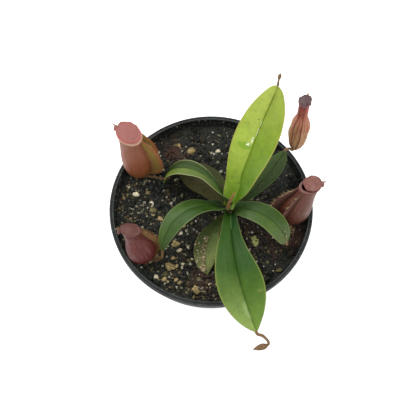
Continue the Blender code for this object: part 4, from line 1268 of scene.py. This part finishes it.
def bristles(name, rng, spots, ways, least, most, thickness, slot, finish=None, lean=0.35, curl=0.14):
    """Short stiff hairs standing at those points (count, 3), each near its own way (count, 3)."""
    count = len(spots)
    aims = unit(ways + rng.normal(0, lean, (count, 3)))
    lengths = rng.uniform(least, most, count)
    roots, radii = spots - aims * 0.12, np.full(count, thickness)
    shapes, faces = strands(rng, roots, aims, lengths, radii, curl, joints=5)
    return place_piece(many(name, shapes, faces, smooth=True), finish or bristle_finish, slot)


def around_tube(rng, route, radii, count):
    """Random points on a tube of those radii, and the way out of it at each."""
    pick = rng.integers(1, len(route) - 1, count)
    ahead = route[pick + 1] - route[pick - 1]
    out = unit(np.cross(ahead, rng.normal(size=(count, 3))))
    return route[pick] + out * np.asarray(radii)[pick][:, None], out


rng = np.random.default_rng(301)
spots, ways = around_tube(rng, spear_route[8:], spear_radii[8:], 220)
bristles("new_leaf_hairs", rng, spots, ways + [0.3, 0, 0.4], 0.3, 0.8, 0.04, "young_leaf")

# ---------------------------------------------------------------- tendrils
# Each midrib runs on past its leaf as a wiry brown tendril, ridged along its length. Four of them
# thicken into the foot of a pitcher. The two youngest end in a bud like a folded mitten.

TENDRIL_RADIUS = 0.75


def leaf_end(name):
    """Where a tendril leaves a leaf: from a little inside its tip, at half its thickness."""
    leaf = next(leaf for leaf in LEAVES if leaf.name == name)
    point, forward, _, up = (part[0] for part in midrib(leaf, np.array([1.0])))
    inside = midrib(leaf, np.array([0.955]))
    return [inside[0][0] - inside[3][0] * 0.55, point + forward * 0.85 - up * 0.35]


tendril_finish = Finish("brown_tendril", 0.6, specular_ior_level=0.3)
scurf = tendril_finish.grain(0.6, 4.0, 0.7)
tendril_tone = tendril_finish.ramp(tendril_finish.spread(scurf, 0.25, 0.75), [
    (0.0, (80, 58, 38)), (0.5, (112, 84, 54)), (1.0, (150, 118, 80))])
tendril_finish.colour(tendril_finish.mix(
    tendril_finish.spread(tendril_finish.grain(4.0), 0.45, 0.7), tendril_tone, (98, 84, 46)))
tendril_finish.relief(scurf, 0.12)


def tendril(name, points, radius, bud=0.0, foot=None, hairs=60):
    """A ridged wire along the points. Its last part swells to a bud, or to the foot of its pitcher."""
    route = smooth_route(np.array(points), 14)
    share = np.linspace(0, 1, len(route))
    radii = radius * (1.0 - 0.28 * share)
    if bud:
        swell = np.sin(np.pi * np.clip((share - 0.60) / 0.40, 0, 1) ** 1.2) ** 0.9 * bud
        radii = np.maximum(np.where(share > 0.9, 0.25, radii), swell)
    if foot:
        radii = radii + (foot - radii) * np.clip((share - 0.72) / 0.28, 0, 1) ** 2
    turns = np.linspace(0, 2 * np.pi, 21)
    ridges = radii[:, None] * (0.07 * np.cos(turns * 5)[None] + 0.10 * lumps(route, 1.6, 77)[:, None])
    if bud:
        crease = np.exp(-((turns - 1.5) / 0.25) ** 2)[None] * np.clip((share - 0.66) / 0.1, 0, 1)[:, None]
        ridges = ridges - 0.35 * radii[:, None] * crease
    wire = skin(f"{name}_wire", tube(route, radii, 20, ridges))
    place_piece(wire, tendril_finish, "tendril_brown", name)
    if hairs:
        rng = np.random.default_rng(len(route) + hairs)
        spots, ways = around_tube(rng, route, radii, hairs)
        bristles(f"{name}_hairs", rng, spots, ways, 0.25, 0.7, 0.035, "tendril_brown")


TOP_BUD = [(31.2, 45.6, 124.4), (31.6, 47.4, 126.0), (32.1, 48.9, 127.6)]
FRONT_BUD = [
    (25.0, -68.0, 86.9), (27.6, -70.4, 85.2), (27.2, -71.6, 83.8), (24.4, -72.4, 82.6), (20.6, -73.4, 81.6)]
tendril("tendril_top", [*leaf_end("leaf_top"), *TOP_BUD], 0.62, bud=0.95)
tendril("tendril_front", [*leaf_end("leaf_front"), *FRONT_BUD], TENDRIL_RADIUS, bud=1.45, hairs=90)

# ---------------------------------------------------------------- pitchers
# Four hollow leaf cups: a round belly on an upturned foot, a waist, and a mouth with a ribbed, rolled
# rim. Two thin fringed wings run down the front. Colours run from orange to maroon and dry brown.


@dataclass
class Pitcher:
    """One pitcher, in the sizes of its cup, its wings and its lid, and the shades of its skin."""

    name: str
    foot: tuple
    lean_azimuth: float
    lean: float
    height: float
    front: float  # azimuth of its wings
    face: float  # azimuth that its mouth faces
    belly: float  # radius of its belly
    waist: float
    waist_at: float  # share of its height
    mouth: float
    wing: tuple  # how wide its left and its right wing are
    lid_length: float
    lid_width: float
    lid_open: float
    leaf: str
    route: tuple  # middles of its tendril, from the leaf to the foot
    slot: str
    lid_slot: str
    low: tuple  # shades of the cup: foot, belly, neck
    belly_shade: tuple
    neck: tuple
    fleck: tuple  # shade of its flecks and veins
    wing_shades: tuple  # root, middle, edge
    rim: tuple
    lid_shades: tuple  # middle, edge, vein
    fringe: tuple  # how many hairs on each wing, and how long and thick they are
    wrinkle: float = 0.02
    shoulder: float = 1.0  # over 1 keeps the cup wide further up
    foot_shift: tuple = (0.0, 0.0)  # how far the cup bows out of the straight, at its foot
    mouth_shift: tuple = (0.0, 0.0)  # and at its mouth


PITCHERS = [
    Pitcher("back_left", (-35.2, 19.8, 74.6), 128, 15, 31, 4, -22,
            7.6, 5.6, 0.92, 5.1, (4.2, 6.6), 13.2, 11.8, 2,
            "leaf_back_left", ((-26.5, 17.2, 74.4), (-31.0, 18.2, 74.2)), "orange_pitcher", "lid_pink",
            (126, 86, 58), (138, 84, 60), (150, 102, 84), (112, 52, 38),
            ((140, 90, 60), (142, 126, 58), (168, 98, 62)), (216, 168, 144),
            ((162, 112, 104), (186, 88, 92), (168, 96, 94)), (34, 1.9, 0.05),
            0.02, 1.5, (-1.7, 0.0), (-1.0, 1.4)),
    Pitcher("front_left", (-33.2, -27.4, 74.6), 130, 31, 21, 36, 15,
            7.6, 4.2, 0.86, 3.7, (2.6, 3.6), 10.8, 9.4, -6,
            "leaf_left", ((-24.6, -27.9, 78.0), (-28.0, -28.4, 74.9)), "red_pitcher", "lid_dark",
            (86, 48, 40), (92, 45, 40), (92, 52, 48), (178, 116, 106),
            ((104, 72, 46), (128, 98, 50), (132, 90, 56)), (128, 84, 78),
            ((118, 86, 80), (104, 66, 62), (96, 58, 56)), (24, 1.7, 0.055),
            0.025, 1.3, (1.0, 0.0), (1.0, 0.4)),
    Pitcher("right", (39.8, -5.6, 74.6), 49, 26, 27, 203, 186,
            7.6, 4.7, 0.92, 4.2, (3.0, 5.2), 9.4, 10.4, 5,
            "leaf_right", ((38.6, -20.2, 79.5), (39.4, -14.5, 75.0), (40.0, -9.5, 74.4)),
            "red_pitcher", "lid_dark",
            (78, 54, 46), (92, 60, 50), (110, 74, 66), (134, 92, 82),
            ((88, 60, 50), (92, 60, 50), (104, 68, 58)), (128, 84, 76),
            ((140, 100, 92), (132, 80, 76), (112, 64, 60)), (80, 3.0, 0.075),
            0.03, 1.1, (0.0, 0.0), (0.9, 0.0)),
    Pitcher("back_right", (43.8, 31.8, 82.0), 76, 31, 28.5, -112, -112,
            5.1, 2.8, 0.76, 2.7, (0.8, 0.8), 7.6, 6.6, -12,
            "leaf_back_right", ((40.6, 31.0, 84.4),), "dried_pitcher", "lid_dark",
            (180, 152, 110), (184, 150, 112), (176, 96, 90), (128, 58, 50),
            ((150, 100, 76), (140, 84, 68), (120, 62, 52)), (120, 80, 80),
            ((112, 92, 92), (84, 60, 62), (70, 46, 50)), (10, 1.2, 0.05),
            0.06, 4.5, (0.0, 0.0), (-0.8, 0.0)),
]
MOUTH_SLOPE = 0.55  # how far the rim falls for each millimetre towards the way it faces
WING_ROOT = 24.0  # how far each wing stands from the front, in degrees
CUP_WALL = 0.8
RIM_ROWS = 17
RIM_RIBS = 42
LID_THICKNESS = 0.7
LID_GAP = 0.55  # from the rim's crest to a lid's upper face, at the hinge


def pitcher_axes(pitcher, azimuth):
    """(axis, towards, side): the leaning axis, square to it the way to that azimuth, and their cross."""
    axis = headings(pitcher.lean_azimuth, 90.0 - pitcher.lean)
    towards = headings(azimuth, 0.0)
    towards = unit(towards - axis * (towards @ axis))
    return axis, towards, np.cross(axis, towards)


def cup_radius(pitcher, share):
    """Radius by height: a round foot and belly, a cosine ease to the waist, and a flare to the mouth."""
    share = np.asarray(share, float)
    round_foot = pitcher.belly * np.sqrt(np.clip(1 - (1 - share / 0.36) ** 2, 0.012, 1))
    ease = 0.5 - 0.5 * np.cos(np.pi * (share - 0.36) / (pitcher.waist_at - 0.36))
    body = pitcher.belly + (pitcher.waist - pitcher.belly) * np.clip(ease, 0, 1) ** pitcher.shoulder
    flare = np.clip((share - pitcher.waist_at) / (1 - pitcher.waist_at), 0, 1)
    neck = pitcher.waist + (pitcher.mouth - pitcher.waist) * flare ** 2
    return np.where(share < 0.36, round_foot, np.where(share < pitcher.waist_at, body, neck))


def drift(pitcher, share):
    """How far the cup's middle stands aside of its straight axis at a share of its height."""
    foot, mouth = np.array([*pitcher.foot_shift, 0.0]), np.array([*pitcher.mouth_shift, 0.0])
    share = np.asarray(share, float)[..., None]
    return foot * (1 - share ** 2) + mouth * share ** 2


def cup_place(pitcher, share, angle, radius, lift=0.0):
    """A point of the cup at a share of its height and an angle from its front, at that radius.

    The radius is laid square to the axis. Near the mouth the rings tilt, lower where the mouth faces.
    """
    axis, front, side = pitcher_axes(pitcher, pitcher.front)
    face = pitcher_axes(pitcher, pitcher.face)[1]
    turn = np.radians(angle)
    flat = (front * np.cos(turn)[..., None] + side * np.sin(turn)[..., None]) * np.asarray(radius)[..., None]
    slope = MOUTH_SLOPE * np.clip((share - 0.45) / 0.55, 0, None) ** 2
    rise = pitcher.height * share + lift - slope * (flat @ face)
    return np.array(pitcher.foot) + drift(pitcher, share) + flat + axis * rise[..., None]


def cup_skin(pitcher, seed, columns=168):
    """The cup as one skin: up the outside, over the ribbed rim, and down the inside to the bottom."""
    lip = min(0.75, pitcher.mouth * 0.15)
    angle = np.linspace(0, 360, columns + 1)
    up = np.concatenate([[0.0, 0.006, 0.016, 0.032], np.linspace(0.05, 0.995, 64)])
    roll = np.linspace(-70, 205, RIM_ROWS)
    rim_radius = pitcher.mouth + lip * 0.15 + lip * 1.1 * np.cos(np.radians(roll))
    rim_lift = lip * 0.95 * np.sin(np.radians(roll)) - 0.1
    down = np.linspace(0.955, 0.06, 26)
    share = np.concatenate([up, np.ones(RIM_ROWS), down])[:, None] + 0 * angle
    lining = np.maximum(0.5, cup_radius(pitcher, down) - CUP_WALL)
    radius = np.concatenate([cup_radius(pitcher, up), rim_radius, lining])
    lift = np.concatenate([0 * up, rim_lift, 0 * down])[:, None] + 0 * angle
    radius = radius[:, None] + 0 * angle
    turn = np.radians(angle)
    spot = round_axis(1 + 0 * share, turn, share * pitcher.height / pitcher.belly)
    body = np.concatenate([np.ones(len(up)), np.zeros(RIM_ROWS), np.ones(len(down)) * 0.6])[:, None]
    swell = np.sin(np.pi * np.clip(share, 0, 1)) ** 0.5
    uneven = lumps(spot + seed, 0.9, seed) * 1.2 + lumps(spot * [3, 3, 0.6] + seed, 0.8, seed + 1)
    radius = radius * (1 + pitcher.wrinkle * body * swell * uneven)
    crease = np.exp(-((np.abs((angle + 180) % 360 - 180) - WING_ROOT - 5) / 5.0) ** 2)
    radius = radius - 0.28 * crease * body * swell * (max(pitcher.wing) > 2)
    rim_part = np.zeros((len(share), 1))
    rim_part[len(up):len(up) + RIM_ROWS] = 1
    radius = radius + rim_part * lip * 0.09 * np.cos(turn * RIM_RIBS)
    points = cup_place(pitcher, share, angle + 0 * share, radius, lift)
    points[:, -1] = points[:, 0]
    # marks the inner lining, which the skin paints darker as shade in the hollow
    inner = np.concatenate([np.zeros(len(up) + 9), np.ones(len(down) + 8)])[:, None] + 0 * angle
    v = np.concatenate([up, np.ones(RIM_ROWS), down])
    u, v = np.meshgrid(angle / 360, v)
    ends = [points[:1].mean(axis=1, keepdims=True), points[-1:].mean(axis=1, keepdims=True)]
    foot_pole, inner_pole = (np.broadcast_to(end, points[:1].shape) for end in ends)
    closed = np.concatenate([foot_pole, points, inner_pole])
    sheet = np.stack([u, v], axis=-1)
    sheet = np.concatenate([sheet[:1], sheet, sheet[-1:]])
    marks = [np.concatenate([part[:1], part, part[-1:]]) for part in (rim_part + 0 * angle, inner)]
    return closed, sheet, marks


def pitcher_finish(pitcher):
    """Skin shades from foot to neck, veins and flecks over it, a paler rim, an inside painted darker as
    shade, and a waxy uneven gloss.
    """
    dry = pitcher.slot == "dried_pitcher"
    made = Finish(f"{pitcher.name}_pitcher_skin", subsurface_weight=0.12, subsurface_scale=0.8 * MM,
                  subsurface_radius=(1.0, 0.35, 0.2), specular_ior_level=0.30 if dry else 0.40)
    across, along = made.across_and_along()
    wander = made.scaled(made.grain(4.0, 3.0), 0.22, made.plus(along, -0.11))
    shades = (pitcher.low, pitcher.belly_shade, pitcher.neck, pitcher.fleck)
    foot, belly, neck, fleck = map(under_sheen, shades)
    tone = made.ramp(wander, [(0.05, foot), (0.42, belly), (0.95, neck)])
    cloud = made.spread(made.grain(2.6, 4.0, 0.6), 0.3, 0.7)
    tone = made.mix(made.times(cloud, 0.30), tone, neck)
    veins = made.thin_lines(made.streaks(made.times(across, 26.0), along, 1.1, 1.0, 0.55), 0.06)
    tone = made.mix(made.times(veins, 0.60 if dry else 0.16), tone, fleck)
    freckle = made.spread(made.cells(0.95), 0.14, 0.30, 1.0, 0.0)
    some = made.spread(made.grain(1.9), 0.42, 0.60)
    tone = made.mix(made.times(made.times(freckle, some), 0.2 if dry else 0.6), tone, fleck)
    ribs = made.spread(made.math("SINE", made.times(across, RIM_RIBS * 2 * np.pi)), -0.8, 0.8)
    rim_tone = made.mix(ribs, paint(*[round(part * 0.82) for part in pitcher.rim]), paint(*pitcher.rim))
    # painted shade: the inside of the cup is darkened
    tone = made.mix(made.mark("inside"), tone, made.mix(0.6, tone, (46, 26, 22)))
    made.colour(made.mix(made.mark("rim"), tone, rim_tone))
    fine = made.grain(0.3, 3.0, 0.6)
    start = 0.5 if dry else 0.36
    made.gloss(made.spread(made.plus(cloud, fine), 0.4, 1.6, start, start + 0.2))
    made.relief(made.scaled(veins, 0.4, made.scaled(cloud, 0.4, fine)), 0.14)
    return made


def wing_finish(pitcher):
    """The wings' own shades from root to edge, with thin dark veins that run out across them."""
    made = Finish(f"{pitcher.name}_wing_skin", 0.5, subsurface_weight=0.15, subsurface_scale=0.5 * MM,
                  specular_ior_level=0.3)
    across, along = made.across_and_along()
    wander = made.scaled(made.grain(2.2, 3.0), 0.5, made.plus(across, -0.25))
    root, middle, edge = (paint(*shade) for shade in pitcher.wing_shades)
    tone = made.ramp(wander, [(0.0, root), (0.5, middle), (0.95, edge)])
    veins = made.thin_lines(made.streaks(across, along, 22.0, 1.3), 0.05)
    made.colour(made.mix(made.times(veins, 0.4), tone, root))
    made.relief(made.plus(veins, made.grain(0.4)), 0.12)
    return made


def wing_skin(pitcher, side_of, seed, rows=90, columns=14):
    """A thin blade from the cup's front out to its edge. Its width is a skewed sine of its height."""
    share = np.linspace(0.012, 0.965, rows)[:, None]
    out = np.linspace(0, 1, columns)[None]
    _, front, side = pitcher_axes(pitcher, pitcher.front)
    widest = pitcher.wing[0 if side_of > 0 else 1]
    width = widest * np.sin(np.pi * np.clip(share / 0.97, 0, 1) ** 0.75) ** 0.55
    root = cup_place(pitcher, share + 0 * out, side_of * WING_ROOT + 0 * share + 0 * out,
                     cup_radius(pitcher, share) * 0.965 + 0 * out)
    ripple = lumps(on_flat(share * pitcher.height, out), 2.6, seed)
    flare = side_of * (0.22 * width * out ** 1.5) + 0.32 * ripple * out ** 1.3 * min(1.0, widest / 3)
    middle = root + front * (width * out)[..., None] + side * flare[..., None]
    thick = 0.30 * (1 - 0.55 * out ** 2)[..., None] * np.ones((rows, 1, 1))
    ring = wrapped(middle + side * thick, middle - side * thick)
    u = wrapped(out, out) + 0 * share
    return ring, np.stack([u, share + 0 * u], axis=-1), middle[:, -1], width[:, 0]


for number, pitcher in enumerate(PITCHERS):
    seed = 400 + number * 10
    closed, sheet, (rim_mark, inside_shade_mark) = cup_skin(pitcher, seed)
    marks = {"rim": [rim_mark], "inside": [inside_shade_mark]}
    cup = skin(f"cup_{pitcher.name}", (closed, sheet), marks=marks, sharp=80.0)
    place_piece(cup, pitcher_finish(pitcher), pitcher.slot, f"pitcher_{pitcher.name}")
    axis, front, side = pitcher_axes(pitcher, pitcher.front)
    membrane = wing_finish(pitcher)
    rng = np.random.default_rng(seed)
    for side_of, word in ((1, "left"), (-1, "right")):
        ring, sheet, edge, width = wing_skin(pitcher, side_of, seed + 3 + side_of)
        blade = skin(f"wing_{word}_{pitcher.name}", (ring, sheet), *flattened(ring), sharp=80.0)
        place_piece(blade, membrane, pitcher.slot)
        hairs, longest, thickness = pitcher.fringe
        hairs = round(hairs * (width.max() / max(pitcher.wing)) ** 2)
        pick = rng.integers(4, len(edge) - 6, hairs)
        ways = front + side * side_of * 0.35 + axis * rng.uniform(-0.2, 0.5, (hairs, 1))
        bristles(f"fringe_{word}_{pitcher.name}", rng, edge[pick], ways, 0.6, longest, thickness,
                 pitcher.slot, lean=0.22)
    foot = np.array(pitcher.foot) + drift(pitcher, 0.0)
    aside = unit(np.array(pitcher.route[-1]) - foot)
    end = foot + aside * pitcher.belly * 0.3 - axis * 0.75
    tendril(f"tendril_{pitcher.name}", [*leaf_end(pitcher.leaf), *pitcher.route, end, foot + axis * 1.2],
            TENDRIL_RADIUS, foot=min(1.7, pitcher.belly * 0.24), hairs=50)

# Dry moss caught between two of the pitchers and the mix: (middle of the tuft, how wide, how many)
TUFTS = [
    ("moss_front_left", (-27.4, -26.4, 74.6), 1.7, 60),
    ("moss_right", (40.5, -11.2, 75.0), 2.4, 90),
]
for number, (name, middle, width, count) in enumerate(TUFTS):
    rng = np.random.default_rng(460 + number)
    spots = np.array(middle) + rng.normal(0, 1, (count, 3)) * [width / 2, width / 2, 0.3]
    ways = headings(rng.uniform(0, 360, count), rng.uniform(5, 70, count))
    bristles(name, rng, spots, ways, 1.0, 3.2, 0.08, "bark", curl=0.3)

# ---------------------------------------------------------------- lids
# A thin domed leaf over each mouth, held by a short neck behind it, with a turned-up margin, veins
# that spread from its base, and a small hairy spur that points away behind.


def lid_axes(pitcher):
    """(hinge, reach, out, side): where a lid starts, the way it reaches, its upper face's way, across."""
    axis, face, side = pitcher_axes(pitcher, pitcher.face)
    tilt = np.radians(pitcher.lid_open) - np.arctan(MOUTH_SLOPE)
    reach = face * np.cos(tilt) + axis * np.sin(tilt)
    out = axis * np.cos(tilt) - face * np.sin(tilt)
    lip = min(0.75, pitcher.mouth * 0.15)
    back = pitcher.mouth + lip
    hinge = np.array(pitcher.foot) + drift(pitcher, 1.0) - face * back
    hinge = hinge + axis * (pitcher.height + MOUTH_SLOPE * back + lip + LID_GAP)
    return hinge, reach, out, side


def lid_skin(pitcher, seed, rings=26, columns=120):
    """Both faces of a lid as rings about its middle: domed, rippled at the margin, notched at the hinge."""
    hinge, reach, out, side = lid_axes(pitcher)
    radius = np.sin(np.linspace(0, 1, rings) * np.pi / 2)[:, None]
    turn = np.linspace(0, 2 * np.pi, columns + 1)[None]
    notch = 1 - 0.10 * np.exp(-((turn - 1.5 * np.pi) / 0.22) ** 2) * radius
    torn = lumps(on_flat(np.cos(turn) * 2, np.sin(turn) * 2), 0.5, seed)
    ragged = 1 + pitcher.wrinkle * 1.8 * torn * radius
    x = radius * np.cos(turn) * notch * ragged
    y = radius * np.sin(turn) * notch * ragged
    spot = on_flat(x * 3, y * 3)
    dome = 0.13 * pitcher.lid_width * (1 - radius ** 2)
    curl = 0.035 * pitcher.lid_width * np.clip((radius - 0.80) / 0.20, 0, 1) ** 2
    depth = (0.014 + pitcher.wrinkle * 0.7) * pitcher.lid_width
    ripple = depth * lumps(spot + seed, 1.2, seed) * (0.3 + radius ** 2)
    fold = 0.03 * pitcher.lid_width * np.exp(-((radius - 0.72) / 0.10) ** 2) * np.clip(np.sin(turn), 0, 1)
    height = dome + curl + ripple - fold
    along, across = (y + 1) / 2 * pitcher.lid_length, x / 2 * pitcher.lid_width
    top = hinge + reach * along[..., None] + side * across[..., None] + out * height[..., None]
    top[:, -1] = top[:, 0]
    thick = LID_THICKNESS * (0.75 - 0.35 * radius ** 4)[..., None]
    bottom = top - out * thick
    share = np.stack([x * 0.5 + 0.5, y * 0.5 + 0.5], axis=-1)
    return np.concatenate([top, bottom[::-1]]), np.concatenate([share, share[::-1]])


def lid_finish(pitcher):
    """A lid's middle and margin shades, with veins that fan out from the hinge and fine flecks."""
    made = Finish(f"{pitcher.name}_lid_skin", subsurface_weight=0.15, subsurface_scale=0.6 * MM,
                  subsurface_radius=(1.0, 0.4, 0.3), specular_ior_level=0.35)
    across, along = made.across_and_along()
    x = made.minus(across, 0.5)
    y = made.minus(along, 0.5)
    radius = made.times(made.far(x, y), 2.0)
    middle, margin, vein_shade = (under_sheen(shade) for shade in pitcher.lid_shades)
    cloud = made.spread(made.grain(2.4, 4.0), 0.3, 0.7)
    tone = made.mix(made.times(cloud, 0.35), middle, vein_shade)
    bearing = made.math("ARCTAN2", x, made.plus(y, 0.62))
    fan = made.scaled(made.grain(2.0), 1.6, made.times(bearing, 26.0))
    veins = made.spread(made.math("SINE", fan), 0.72, 1.0)
    tone = made.mix(made.times(veins, 0.35), tone, vein_shade)
    edge = made.spread(made.scaled(made.grain(1.5), 0.08, radius), 0.95, 1.04)
    tone = made.mix(edge, tone, margin)
    flecks = made.spread(made.cells(0.7), 0.10, 0.26, 0.5, 0.0)
    made.colour(made.mix(flecks, tone, vein_shade))
    made.gloss(made.spread(cloud, 0.0, 1.0, 0.38, 0.55))
    made.relief(made.scaled(veins, 0.6, made.grain(0.35)), 0.10)
    return made


for number, pitcher in enumerate(PITCHERS):
    seed = 500 + number * 10
    rng = np.random.default_rng(seed)
    hinge, reach, out, side = lid_axes(pitcher)
    points, sheet = lid_skin(pitcher, seed)
    finish = lid_finish(pitcher)
    lid = skin(f"lid_leaf_{pitcher.name}", (points, sheet), sharp=80.0)
    place_piece(lid, finish, pitcher.lid_slot, f"lid_{pitcher.name}")
    scale = pitcher.lid_width / 11.0
    neck_route = smooth_route(np.array([
        hinge - out * 2.6 * scale + reach * 0.2,
        hinge - out * 0.9 * scale - reach * 0.15,
        hinge + reach * 0.9 * scale - out * 0.05]), 10)
    neck_radii = np.interp(np.linspace(0, 1, len(neck_route)), [0, 0.5, 1], [1.15, 0.85, 0.6]) * scale
    place_piece(skin(f"lid_neck_{pitcher.name}", tube(neck_route, neck_radii, 20)), finish, pitcher.lid_slot)
    spur_tip = hinge - reach * 2.2 * scale + out * 0.6 * scale
    spur_route = smooth_route(np.array([
        hinge + reach * 0.5 * scale, hinge - reach * 0.7 * scale + out * 0.1, spur_tip]), 10)
    spur_radii = np.linspace(0.62, 0.14, len(spur_route)) * scale
    place_piece(skin(f"lid_spur_{pitcher.name}", tube(spur_route, spur_radii, 16)), finish, pitcher.lid_slot)
    spots, ways = around_tube(rng, spur_route, spur_radii, 26)
    bristles(f"spur_hairs_{pitcher.name}", rng, spots, ways - reach * 0.8, 0.5, 1.4, 0.055, pitcher.lid_slot)
